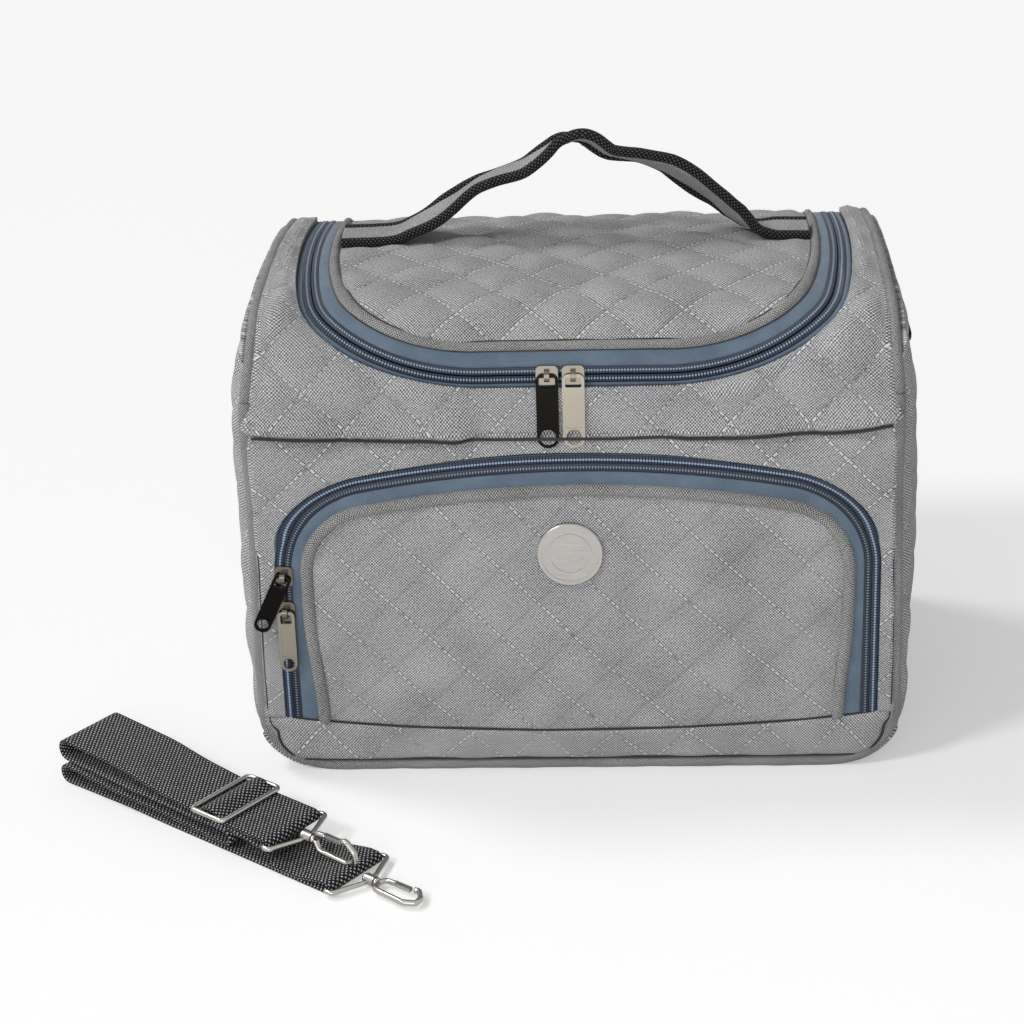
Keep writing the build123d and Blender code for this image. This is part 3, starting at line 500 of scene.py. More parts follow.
def linear(r, g, b):
    """Shader colour of an sRGB colour, 0 to 255."""
    return tuple(((c / 255 + 0.055) / 1.055) ** 2.4 if c > 10 else c / 255 / 12.92 for c in (r, g, b))


THREAD = linear(240, 242, 244)


def cloth(name, light, dark, pitch=0.78, stitches=(1.0, 1.0)):
    """Melange linen weave; stitches gives the strength of the two families of quilting lines, whose valleys
    get painted shade.
    """
    m = Material(name, rough=0.92, Sheen_Weight=0.06, Sheen_Roughness=0.6, Specular_IOR_Level=0.15)
    u, v = m.u, m.v
    warp = m.noise(m.vector(m.mul(u, 1 / pitch), m.mul(v, 0.45 / pitch)), 1.0, 1.0)
    weft = m.noise(m.vector(m.mul(u, 0.45 / pitch), m.mul(v, 1 / pitch), 7.0), 1.0, 1.0)
    cross = m.mul(m.wave(u, 2 * pitch), m.wave(v, 2 * pitch))
    over = m.step(cross, -0.35, 0.35)
    thread = m.mix(over, m.vector(warp, warp, warp), m.vector(weft, weft, weft))
    grain = m.noise(m.place, 1.9, 3.0, 0.7)
    slow = m.noise(m.place, 0.03, 2.0)
    check = m.step(cross, -0.15, 0.5)
    tone = m.add(m.mul(m.step(thread, 0.36, 0.64), 0.2), m.mul(m.step(grain, 0.36, 0.64), 0.2))
    tone = m.add(tone, m.mul(check, 0.64))
    tone = m.add(tone, m.mul(m.add(slow, -0.5), 0.3))
    base = m.mix(tone, dark, light)
    weave = m.math("ABSOLUTE", cross)
    height = m.add(m.mul(weave, 0.55), m.mul(grain, 0.45))
    if max(stitches) > 0:
        wob = m.mul(m.math("SINE", m.add(m.mul(u, 1 / 31), 1.0)), 1.2)
        wob = m.add(wob, m.math("SINE", m.mul(v, 1 / 37)))
        p = m.mul(m.add(m.add(u, v), wob), 1 / sqrt(2))
        q = m.mul(m.add(m.math("SUBTRACT", u, v), wob), 1 / sqrt(2))
        for run, cross_run, strength in ((p, q, stitches[0]), (q, p, stitches[1])):
            if not strength:
                continue
            apart = m.near(run, PITCH)
            dash = m.step(m.near(cross_run, 3.4), 0.35, 0.6)
            line = m.mul(m.step(apart, 0.5, 0.26), dash)
            # painted shade: the cloth colour is darkened along the valleys of the quilting lines
            shaded_valley = m.step(apart, 1.6, 0.0)
            base = m.mix(m.mul(shaded_valley, 0.35 * min(1, strength + 0.3)), base, dark)
            fuzz = m.step(m.noise(m.place, 0.25, 2.0), 0.30, 0.5)
            base = m.mix(m.mul(m.mul(line, fuzz), strength), base, THREAD)
            height = m.add(height, m.mul(shaded_valley, -0.9))
            height = m.add(height, m.mul(line, 0.8))
    m.colour(base)
    m.bump(height, 0.25)
    return m.material


def tape_cloth(name, light, dark):
    """Fine twill of a zip's tape."""
    m = Material(name, rough=0.72, Sheen_Weight=0.2, Sheen_Roughness=0.5)
    twill = m.wave(m.add(m.u, m.mul(m.v, 0.8)), 0.95)
    grain = m.noise(m.place, 1.2, 2.0)
    slow = m.noise(m.place, 0.06, 2.0)
    tone = m.add(m.add(m.mul(twill, 0.16), m.mul(grain, 0.4)), m.mul(slow, 0.5))
    m.colour(m.mix(m.step(tone, 0.15, 0.8), dark, light))
    m.bump(m.add(m.mul(twill, 0.5), grain), 0.12)
    return m.material


TOOTH = 1.5  # pitch of a coil's teeth


def coil_cloth(name):
    """Nylon coil with a row of sewing thread along it and painted shade in the gaps between its teeth; v
    runs across the coil.
    """
    m = Material(name, rough=0.42, Specular_IOR_Level=0.5)
    tooth = m.near(m.u, TOOTH)
    row = m.step(m.math("ABSOLUTE", m.add(m.v, -2.65)), 0.55, 0.25)
    thread = m.mul(row, m.step(tooth, 0.25, 0.45))
    # painted shade: the navy turns darker in the gaps between the teeth
    body = m.mix(m.step(tooth, 0.1, 0.55), linear(9, 12, 20), linear(34, 50, 76))
    m.colour(m.mix(m.mul(thread, 0.85), body, linear(172, 196, 220)))
    m.bump(m.step(tooth, 0.0, 0.5), 0.2)
    return m.material


def web_cloth(name, light, dark, rib, fleck):
    """Woven webbing with raised ribs along it and light flecks across."""
    m = Material(name, rough=0.7, Sheen_Weight=0.04, Sheen_Roughness=0.4, Specular_IOR_Level=0.15)
    shift = m.mul(m.step(m.wave(m.v, 2 * rib), -0.05, 0.05), 1.1)
    along_ = m.math("SINE", m.mul(m.add(m.u, shift), 2 * pi / 2.2))
    across_ = m.math("ABSOLUTE", m.math("SINE", m.mul(m.v, pi / rib)))
    dot = m.mul(m.step(along_, 0.15, 0.75), m.step(across_, 0.45, 0.85))
    grain = m.noise(m.place, 2.2, 2.0)
    lit = m.mul(m.mul(dot, m.step(grain, 0.3, 0.6)), fleck)
    m.colour(m.mix(m.add(lit, m.mul(m.add(grain, -0.5), 0.12)), dark, light))
    m.bump(m.add(m.mul(across_, 0.6), m.mul(along_, 0.3)), 0.5)
    return m.material


def metal(name, colour, rough, brushed=0.0):
    """Plated or satin metal with faint blotches; brushed is the depth of its fine lines."""
    m = Material(name, rough=rough, metal=1.0, coords="Object")
    slow = m.noise(m.place, 0.25, 3.0)
    fine = m.noise(m.place, 3.0, 3.0)
    tone = m.add(m.mul(slow, 0.5), m.mul(fine, 0.5))
    dull, bright = tuple(c * 0.86 for c in colour), tuple(min(1, c * 1.08) for c in colour)
    m.colour(m.mix(tone, dull, bright))
    m.roughness(m.add(m.mul(tone, 0.18), rough - 0.06))
    if brushed:
        lines = m.noise(m.vector(m.mul(m.u, 0.1), m.mul(m.v, 0.1), m.mul(m.w, 6.0)), 1.0, 3.0)
        m.bump(lines, brushed)
    return m.material


GREY_LIGHT, GREY_DARK = linear(248, 248, 250), linear(11, 11, 13)
NO_STITCHES = (0.0, 0.0)
quilt = cloth("quilt_cloth", GREY_LIGHT, GREY_DARK)
flap_quilt = cloth("flap_quilt_cloth", GREY_LIGHT, GREY_DARK, stitches=(0.85, 0.12))
plain = cloth("plain_cloth", linear(240, 240, 241), GREY_DARK, stitches=NO_STITCHES)
edge_cloth = cloth("piping_cloth", linear(214, 215, 214), linear(14, 14, 16), 0.7, NO_STITCHES)
tape_blue = tape_cloth("tape_blue", linear(122, 140, 158), linear(76, 94, 114))
coil_navy = coil_cloth("coil_navy")
lining_cloth = tape_cloth("lining_cloth", linear(120, 122, 126), linear(84, 86, 90))
strap_web = web_cloth("strap_webbing", linear(238, 238, 242), linear(15, 15, 17), 1.55, 1.0)
binding_web = web_cloth("binding_braid", linear(140, 140, 138), linear(14, 14, 15), 1.2, 0.75)
tab_web = web_cloth("tab_webbing", linear(120, 120, 122), linear(46, 46, 48), 1.9, 0.5)
nickel = metal("bright_nickel", linear(176, 174, 168), 0.16)
gun = metal("gunmetal", linear(26, 24, 22), 0.14)
steel = metal("pale_steel", linear(150, 144, 132), 0.2)
slider_metal = metal("slider_metal", linear(112, 106, 97), 0.16)
# painted shade: dark cloth for the cords and strips laid along seams, beside pipings and under the fold,
# where shade falls
painted_seam_shade = tape_cloth("seam_shadow", linear(44, 44, 46), linear(18, 18, 20))
disc = metal("brushed_badge", linear(168, 165, 162), 0.28, 0.08)
dark_board = tape_cloth("board_grey", linear(70, 70, 72), linear(46, 46, 48))


# ---- case: front, arms and back
FOLD_X = [-157, -110, -40, 20, 80, 125, 157]
FOLD_Z = [198.5, 194.5, 191, 190.5, 192, 195.5, 200.5]


def fold_z(x):
    """Lower edge of the upper front, where it hangs over the top of the pocket."""
    return np.interp(x, FOLD_X, FOLD_Z)


def star(line_x, line_s, centre_s, far_s, rows, half):
    """Grid of x and s from a zip line out to a rectangle, seen from a centre on its open side."""
    dx, ds = line_x, line_s - centre_s
    reach_x = half / np.maximum(np.abs(dx), 1e-6)
    share = ds / (far_s - centre_s)
    reach_s = np.where(share > 1e-6, 1 / np.maximum(share, 1e-6), 1e9)
    reach = np.minimum(reach_x, reach_s)
    k = 1 + (reach - 1) * rows[:, None]
    return dx * k, centre_s + ds * k


def foot_half(z):
    """Half the width of the front or back at a height, with its rounded foot."""
    round_foot = np.sqrt(np.clip(FOOT_R**2 - (FOOT_R - z) ** 2, 0, None))
    return np.where(z < FOOT_R, EDGE_X - FOOT_R + round_foot, EDGE_X)


def band_half(z):
    """Half the base band's width: pocket() stretches the heights below the band's seam."""
    return foot_half(SKIN_FOOT + 1.32 * (z - SKIN_FOOT))


def band_drop(x, z, half):
    """How far the base band falls back to its piping at the ends and along the foot."""
    ends = 1.5 * smooth((np.abs(x) - half + 4.5) / 4.0) * smooth((29 - z) / 16)
    return ends + 2.2 * smooth((8.5 - z) / 4.0)


UNDERSIDE = np.array([(0, 0.9, -0.9), (0, 2.6, -0.6), (0, 4.2, 1.8)])  # of the fold's rolled edge
UNDERSIDE_UV = np.array([(0, 1.5), (0, 3.5), (0, 6.0)])
CALM_HALF = 44  # the cloth is calm this far to each side of the middle, behind the zip pulls


def front_panel():
    """Front from the lid's zip to the fold over the pocket, with its wall behind the pocket.

    Returns the line just under the fold's edge.
    """
    mesh = Mesh()
    t, _ = even(lid_line, skin, 6.9, GRID)
    lx, ls = along(lid_line, 6.9, t)
    bottom, top = 184.0, 230
    x, s = star(lx, ls, S_HINGE, bottom, np.linspace(0, 1, 34), EDGE_X)
    away = np.hypot(x - lx, s - ls)
    s = s + (fold_z(x) - SKIN_FOOT - bottom) * smooth((top - s) / (top - bottom))
    edge = np.minimum(smooth(away / 9), smooth((BOW_FROM - 0.2 - np.abs(x)) / 9))
    hang = smooth((fold_z(x) + 16 - (s + SKIN_FOOT)) / 16) * (s < 225)
    calm = smooth((np.abs(x + 1) - CALM_HALF) / 14)
    h = puff(x, s, 3.2) * edge * (1 - 0.6 * hang)
    h = h * (0.35 + 0.65 * np.maximum(calm, smooth((s - 214) / 6)))
    h = h + hang * (1.2 + 4.4 * calm) - 2.0 * smooth((np.abs(x) - 153.0) / 3.5)
    h = h + 1.5 * ripple(x, s, 3) * edge * calm
    p = skin(x, s, h)
    uv = pattern(p[..., 0], s)
    roll, low = p[-1], s[-1] < 200
    shown = low & (np.abs(x[-1]) < 155.5)
    fold = roll[shown] + stack(0, -0.9, -2.6 - 1.3 * calm[-1][shown])
    fold[:, 1] = np.minimum(fold[:, 1], skin(fold[:, 0], fold[:, 2] - SKIN_FOOT, 6.0)[:, 1])
    p = np.concatenate([p, np.where(low[None, :, None], roll + UNDERSIDE[:, None], roll[None])])
    mesh.grid(p, np.concatenate([uv, uv[-1] - UNDERSIDE_UV[:, None]]), flip=True)
    share, z = between(-1, 1, 60, 6, 186, 60)
    x = share * (foot_half(z) - 0.4)
    mesh.grid(lean(stack(x, FRONT_Y + 0.4, z)), pattern(x, z - SKIN_FOOT))
    mesh.make("front_panel_cloth", "case", quilt, "quilted_fabric", ["front_panel"], thick=2.6)
    return fold


def back_panel():
    """Back from the lid's hinge down; its padding is thin near the hinge, where the lid folds over."""
    mesh = Mesh()
    s = np.linspace(S_HINGE + 0.5, S_END, 100)[:, None]
    half = foot_half(np.interp(s, SKIN_S, SKIN[:, 1]))
    x = half * np.linspace(-1, 1, 130)[None]
    s = np.broadcast_to(s, x.shape)
    edge = smooth((half + 1 - np.abs(x)) / 8) * smooth((s - S_HINGE) / 55) * smooth((S_END + 2 - s) / 9)
    mesh.grid(skin(x, s, (puff(x, s) + 0.5 * ripple(x, s, 5)) * edge), pattern(x, s), flip=True)
    mesh.make("back_panel_cloth", "case", quilt, "quilted_fabric", ["back_panel"], thick=3.6)


def bulge(y, z):
    """How far the side panels stand out of the case's sides."""
    return 14 * np.clip(1 - (y / 99) ** 2, 0, None) * np.clip(1 - ((z - 138.5) / 106.5) ** 2, 0, None)


def gusset(name, side):
    """Bulged side panel, round at the foot, between the front and back pipings."""
    mesh = Mesh()
    n, foot_n = 84, 15
    y = -100.5 * np.cos(np.linspace(0, pi, n))
    ends = REAR[1] + np.sqrt(np.clip(REAR[2] ** 2 - (y - REAR[0]) ** 2, 0, None))
    top = np.where(y > REAR[0], ends, top_z(y)) - 3.0
    angle = np.linspace(0, pi / 2, foot_n + 1)[:-1, None]
    foot_z, foot_x = FOOT_R - FOOT_R * np.cos(angle), SIDE_X - FOOT_R + FOOT_R * np.sin(angle)
    wall_z = FOOT_R + np.linspace(0, 1, n)[:, None] * (top - FOOT_R)
    z = np.concatenate([np.repeat(foot_z, n, 1), wall_z])
    x = np.concatenate([np.repeat(foot_x, n, 1), np.full((n, n), SIDE_X)])
    y = np.broadcast_to(y, z.shape)
    edge = smooth((101.5 - np.abs(y)) / 8) * smooth((top + 1.5 - z) / 9)
    calm = 1 - smooth((16 - np.abs(y)) / 8) * smooth((z - 170) / 12)  # under the ring's tab
    around = np.concatenate([FOOT_R * angle[:, 0] - FOOT_R * pi / 2 + FOOT_R, z[foot_n:, 0]])
    v = np.where(z >= FOOT_R, z, around[:, None])
    h = (puff(y, v, 1.9) + 0.8 * ripple(y, v, 7 + side)) * edge * calm * smooth((z - 1) / 14)
    nx = np.where(z < FOOT_R, (x - SIDE_X + FOOT_R) / FOOT_R, 1.0)
    nz = np.where(z < FOOT_R, (z - FOOT_R) / FOOT_R, 0.0)
    pull = 2.4 * smooth((np.abs(y) - 92) / 8) * (z > 20)
    p = lean(stack(side * (x + bulge(y, z) - pull + h * nx), y, z + h * nz))
    mesh.grid(p, pattern(y, v), flip=side < 0)
    mesh.make(f"{name}_gusset_cloth", "case", quilt, "quilted_fabric", [f"{name}_gusset"], thick=3.0)


def base_cloth():
    mesh = Mesh()
    x, y = between(-130, 130, 70, -101, 101, 60)
    edge = smooth((130.5 - np.abs(x)) / 8) * smooth((101.5 - np.abs(y)) / 8)
    z = 0.3 + 1.2 * (1 - puff(x, y, 1.0) * edge)
    mesh.grid(stack(x, y, z), pattern(x, y), flip=True)
    mesh.make("base_panel_cloth", "case", quilt, "quilted_fabric", ["base_panel"], thick=2.0)


SIDES = (("left", -1), ("right", 1))
fold_edge = front_panel()
back_panel()
for name, side in SIDES:
    gusset(name, side)
base_cloth()


# ---- pipings
def cord(name, path, body, ref, radius, sides, material, replaces=()):
    """A round cord along a path."""
    mesh = Mesh()
    mesh.sweep(path, *frames(path, ref), circle(radius, sides))
    mesh.make(name, body, material, "piping_fabric", replaces)


def pipings():
    for name, y, high, radius in (
        ("front_piping", -103.2, SHOULDER[1], 3.3),
        ("back_piping", 102.2, REAR[1], 3.0),
    ):
        foot = [(-157.5, y, high), (-157.5, y, 2.5), (157.5, y, 2.5), (157.5, y, high)]
        path = rounded(foot, [29.5, 29.5], 2.5)
        k = np.arange(len(path))
        path[:, 1] += (0.35 * np.sin(k * 0.35) + 0.25 * np.sin(k * 0.83)) * np.sign(y) * 0.6
        a, b = frames(path, ALONG_Y)
        mesh = Mesh()
        mesh.sweep(lean(path), a, b, circle(radius, 14))
        mesh.make(f"{name}_cord", "case", edge_cloth, "piping_fabric", [name])
    s = np.arange(S_FRONT_TOP - 1.0, S_BACK + 1.0, 2.5)
    for name, side in SIDES:
        path = skin(side * 157.7, s, -0.8 + 0.2 * np.sin(s / 5))
        name = f"{name}_top_piping"
        cord(f"{name}_cord", path, "case", ALONG_X, 2.9, 12, edge_cloth, [name])


ALONG_X, ALONG_Y, UP = np.eye(3)
pipings()


def painted_shade_line(name, path, ref, radius):
    """A dark cord that paints the shade in the groove where two cloths meet at a seam."""
    cord(f"{name}_painted_shade_line", path, "case", ref, radius, 6, painted_seam_shade)


# Painted shade: dark cords beside the front piping, along the band's seam, under the fold's overhang and
# beside the shoulders.
def edge_shade_lines(fold):
    z_side = np.arange(180.0, BAND_Z + 1, -2.5)
    z_foot = np.linspace(26.4, 6.4, 16)
    x_foot = band_half(z_foot) - 1.0
    h_foot = 0.5 - band_drop(x_foot, z_foot, band_half(z_foot))
    x_low = np.arange(-142.0, 143.0, 2.5)
    low = pocket(x_low, 6.2, 0.4 - band_drop(x_low, 6.2, 200))
    left, right = (
        [pocket(side * 156.2, z_side, -0.1), pocket(side * x_foot, z_foot, h_foot)] for _, side in SIDES
    )
    painted_shade_line("front", np.concatenate([*left, low, right[1][::-1], right[0][::-1]]), ALONG_Y, 0.8)
    painted_shade_line("band", pocket(np.arange(-150.0, 151.0, 2.5), 26.9, 0.5), ALONG_Y, 0.7)
    painted_shade_line("fold", fold, ALONG_Y, 0.8)
    s = np.arange(186.0, S_BACK - 30, 2.5)
    for name, side in SIDES:
        painted_shade_line(f"{name}_shoulder", skin(side * BOW_FROM, s), ALONG_X, 0.75)


# ---- zips
def strip(line, surface, profile, mid, step=2.5, teeth=None):
    """A band that follows a zip line, evenly divided at mid out; profile lists distance out and height."""
    mesh = Mesh()
    t, length = even(line, surface, mid, step)
    p = [surface(*along(line, g, t), teeth(length, g, h) if teeth else h) for g, h in profile]
    mesh.grid(np.array(p), pattern(length, run_length(np.array(profile))[:, None]))
    return mesh


def tooth_height(length, g, h):
    ridge = np.abs(np.sin(pi * (length / TOOTH + (0.5 if g < 0 else 0))))
    return h - 0.45 * (1 - ridge**0.6) * (0.3 < abs(g) < 3.9)


COIL_OUT = [(0.2, -0.9), (0.25, -0.1), (0.8, 0.3), (2.0, 0.45), (3.2, 0.4), (4.0, 0.05), (4.2, -0.5)]
COIL_IN = [(-g, h) for g, h in reversed(COIL_OUT)]
TAPE_OUT = [(3.8, -0.35), (4.8, -0.15), (6.4, -0.6), (7.0, -2.0), (7.2, -3.6)]
TAPE_OUT_NARROW = [(3.8, -0.35), (4.5, -0.2), (5.3, -0.7), (5.8, -2.2), (6.0, -3.4)]
TAPE_IN = [(-15.0, -0.7), (-13.4, -0.2), (-9.0, 0.1), (-5.5, 0.0), (-3.8, -0.35)]


def zip_pair(prefix, line, surface, moving, tape_out, nodes):
    """Coils and tapes of one zip, each replacing the nodes listed for it."""
    parts = (
        ("coil_fixed", "case", COIL_OUT, 0.0),
        ("tape_fixed", "case", tape_out, 5.0),
        ("coil_moving", moving, COIL_IN, 0.0),
        ("tape_moving", moving, TAPE_IN, -8.0),
    )
    for (part, body, profile, mid), replaced in zip(parts, nodes):
        if part.startswith("coil"):
            mesh = strip(line, surface, profile, mid, TOOTH / 4, tooth_height)
            finish = coil_navy, "zip_coil"
        else:
            mesh = strip(line, surface, profile, mid)
            finish = tape_blue, "zip_tape"
        mesh.make(f"{prefix}_{part}", body, *finish, replaced, thick=0.5)


def uneven(length, _, h):
    return h + 0.22 * np.sin(length / 3.1) * (h > 0.5) + 0.18 * np.sin(length / 7.7)


def seam_roll(prefix, line, surface, body):
    """Covered cord sewn along the inner edge of a zip's tape."""
    mid, half, low, high = -15.9, 2.3, -0.6, 1.9
    profile = [(mid - half * cos(k), low + (high - low) * sin(k)) for k in np.linspace(0, pi, 9)]
    name = f"{prefix}_piping"
    mesh = strip(line, surface, profile, mid, 1.6, uneven)
    mesh.make(f"{name}_cord", body, edge_cloth, "piping_fabric", [name], thick=1.0)


def zip_shade_lines(prefix, line, surface, moving, outer):
    """Dark strips of painted shade beside the fixed tape and on both sides of the moving side's piping."""
    for part, g, body, top in (
        ("outer", outer, "case", 0.1),
        ("tape", -13.7, moving, 0.3),
        ("panel", -18.3, moving, 0.4),
    ):
        profile = [(g - 0.55, top - 0.5), (g - 0.3, top), (g + 0.3, top), (g + 0.55, top - 0.5)]
        mesh = strip(line, surface, profile, g)
        mesh.make(f"{prefix}_{part}_painted_shade_line", body, painted_seam_shade, "piping_fabric", thick=0.4)


# ---- lid
EDGE_G = -16.4  # where the cloth of the lid and of the flap ends, under the piping
HANDLE_Y = 20.0


def lid_panel():
    """Quilted lid between its hinge and the piping along the zip, and its lining."""
    full_x, full_s = lid_line(EDGE_G)
    count = (len(full_x) - 181) // 2 + 1
    path = np.stack([full_x[:count], full_s[:count]], -1)
    length = run_length(path)
    want = np.arange(0, length[-1], GRID)
    # rows that would nearly coincide with the front edge are left out
    clear = np.interp(want, length, path[:, 1]) > full_s.min() + 0.9
    want = np.concatenate([want[clear], [length[-1]]])
    xr, sr = (np.interp(want, length, path[:, k])[:, None] for k in (0, 1))
    x = -xr * np.linspace(-1, 1, 112)
    s = np.broadcast_to(sr, x.shape)
    edge = smooth(np.minimum(-xr - np.abs(x), s - full_s.min()) / 9) * smooth((S_HINGE - s) / 6)
    y = np.interp(s, SKIN_S, SKIN[:, 0])
    sewn = smooth((17.5 - np.abs(y - HANDLE_Y)) / 4) * smooth((np.abs(x - 4) - 82) / 12)
    h = (puff(x, s, 2.8) + 0.8 * ripple(x, s, 11)) * edge * (1 - sewn)
    mesh, inner = Mesh(), Mesh()
    mesh.grid(skin(x, s, h), pattern(x, s))
    mesh.make("lid_panel_cloth", "lid", quilt, "quilted_fabric", ["lid_panel"], thick=3.4)
    inner.grid(skin(x * 0.985, s, -4.2), pattern(x, s))
    inner.make("lid_lining_cloth", "lid", lining_cloth, "lining", ["lid_lining"], thick=0.4)


lid_panel()
zip_pair(
    "lid", lid_line, skin, "lid", TAPE_OUT,
    (["case_zip_coil"], ["case_zip_tape"], ["lid_coil_left", "lid_coil_right"], ["lid_tape"]),
)
seam_roll("lid", lid_line, skin, "lid")
zip_shade_lines("lid", lid_line, skin, "lid", 7.3)


# ---- pocket
def surround():
    """Quilted cloth round the pocket's zip, tucked under the fold."""
    mesh = Mesh()
    t, _ = even(pocket_line, pocket, 4.7, GRID)
    lx, lz = along(pocket_line, 4.7, t)
    x, z = star(lx, lz, BAND_Z, 190.0, np.linspace(0, 1, 26), EDGE_X)
    z = z + (fold_z(x) + 2 - 190) * smooth((z - 172) / 18)
    edge = smooth(np.hypot(x - lx, z - lz) / 9) * smooth((EDGE_X + 0.6 - np.abs(x)) / 3)
    tuck = smooth((z - (fold_z(x) - 2.5)) / 4)
    h = (puff(x, z, 2.0) + 1.2 * ripple(x, z, 13)) * edge * smooth((fold_z(x) - 2 - z) / 8)
    h = h - tuck * (swell(x, z) - 1.0) - 2.4 * smooth((np.abs(x) - 155.6) / 1.4) * smooth((z - 25) / 9)
    p = pocket(x, z, h)
    mesh.grid(p, pattern(p[..., 0], z - SKIN_FOOT))
    mesh.make("pocket_surround_cloth", "case", quilt, "quilted_fabric", ["pocket_surround"], thick=1.2)


def base_band():
    mesh = Mesh()
    z = np.linspace(4.6, 26.4, 14)[:, None]
    half = band_half(z)
    x = half * np.linspace(-1, 1, 140)[None]
    z = np.broadcast_to(z, x.shape)
    edge = smooth((half + 1 - np.abs(x)) / 7) * smooth((z - 3) / 6) * smooth((28.5 - z) / 4)
    h = (puff(x, z, 1.0) + 0.7 * ripple(x, z, 17)) * edge + 0.9 * smooth((z - 18) / 6)
    h = h - band_drop(x, z, half)
    p = pocket(x, z, h)
    lip = p[-1] + np.array([0, 1.6, 0.6])
    p = np.concatenate([p, lip[None], (lip + np.array([0, 2.0, -1.5]))[None]])
    uv = pattern(p[:-2, :, 0], z - SKIN_FOOT)
    uv = np.concatenate([uv, uv[-1][None] + np.array([0, 1.5]), uv[-1][None] + np.array([0, 3.0])])
    mesh.grid(p, uv, flip=True)
    mesh.make("base_band_cloth", "case", quilt, "quilted_fabric", ["pocket_base_band"], thick=1.2)


def flap():
    """Pocket flap between its lower seam and the piping along the zip."""
    full_x, full_z = pocket_line(EDGE_G)
    count = len(full_x) // 2 + 1
    at, k = np.linspace(0, 1, 4000) * (count - 1), np.arange(count)
    dense = np.stack([np.interp(at, k, full_x[:count]), np.interp(at, k, full_z[:count])], -1)
    dense = dense[dense[:, 0] < -24]
    length = run_length(dense)
    want = np.arange(0, length[-1], GRID)
    xr, zr = (np.interp(want, length, dense[:, k])[:, None] for k in (0, 1))
    x = -xr * np.linspace(-1, 1, 116)
    radius = TOP_R + EDGE_G + TOP_CUT
    crown, own = (np.sqrt(radius**2 - k**2) + TOP_CZ for k in (x, xr))
    z = zr + (crown - own) * smooth((zr - 90) / (own[-1, 0] - 90))
    edge = smooth(np.minimum(-xr - np.abs(x), crown - z) / 8) * smooth((z - 24) / 7)
    level = smooth((np.hypot(x + 3, z - 127.5) - 16) / 10)  # flat under the badge
    h = (puff(x, z, 0.9) + 1.1 * ripple(x, z, 19, 60)) * edge * level
    mesh = Mesh()
    mesh.grid(pocket(x, z, h), pattern(x, z - SKIN_FOOT), flip=True)
    mesh.make("flap_panel_cloth", "pocket_flap", flap_quilt, "quilted_fabric", ["flap_panel"], thick=2.2)


surround()
base_band()
flap()
edge_shade_lines(fold_edge)
zip_pair(
    "pocket", pocket_line, pocket, "pocket_flap", TAPE_OUT_NARROW,
    (["pocket_zip_coil"], ["pocket_zip_tape"], ["flap_coil", "flap_coil_foot"], ["flap_tape"]),
)
seam_roll("flap", pocket_line, pocket, "pocket_flap")
zip_shade_lines("pocket", pocket_line, pocket, "pocket_flap", 5.3)


# ---- lining
def case_lining():
    """Front, back, floor and sides of the inside."""
    mesh = Mesh()
    t, _ = even(lid_line, skin, 1.0, 5)
    x, s = star(*along(lid_line, 1.0, t), S_HINGE, 4.0, np.linspace(0, 1, 24), 153.0)
    mesh.grid(skin(x, s, -4.6), pattern(x, s))
    x, s = between(-153, 153, 50, S_HINGE + 1, S_END - 4, 50)
    mesh.grid(skin(x, s, -4.8), pattern(x, s))
    x, y = between(-152, 152, 40, -98, 98, 30)
    foot_r = FOOT_R - 5.0
    turn = np.clip(np.abs(x) - (EDGE_X - FOOT_R), 0, foot_r)
    mesh.grid(stack(x, y, 8.2 + foot_r - np.sqrt(foot_r**2 - turn**2)), pattern(x, y))
    for _, side in SIDES:
        y, k = between(-98, 98, 40, 0, 1, 40)
        z = 30 + k * (top_z(y) - 5.2 - 30)
        mesh.grid(lean(stack(side * (153.5 + bulge(y, z)), y, z)), pattern(y, z))
    mesh.make("case_lining_cloth", "case", lining_cloth, "lining", ["main_lining"], thick=0.5)


case_lining()


# ---- handle
HANDLE_LINE = [
    (-123, 253.4), (-108, 253.5), (-98, 253.9), (-92, 255.0), (-86, 258.5), (-74, 265.0), (-62, 272.0),
    (-50, 280.5), (-38, 286.0), (-26, 290.0), (-14, 297.5), (-6, 303.5), (4, 305.6), (10, 304.0),
    (19, 297.6), (34, 295.0), (50, 289.0), (62, 281.5), (76, 271.5), (86, 261.5), (91, 256.4),
    (97, 254.0), (106, 253.4), (123, 253.0),
]
HANDLE_TURN = [
    (-123, 0), (-96, 0), (-70, 3), (-40, -2), (-10, -6), (6, -20), (30, -26), (60, -29), (84, -31),
    (96, -10), (106, 0), (123, 0),
]


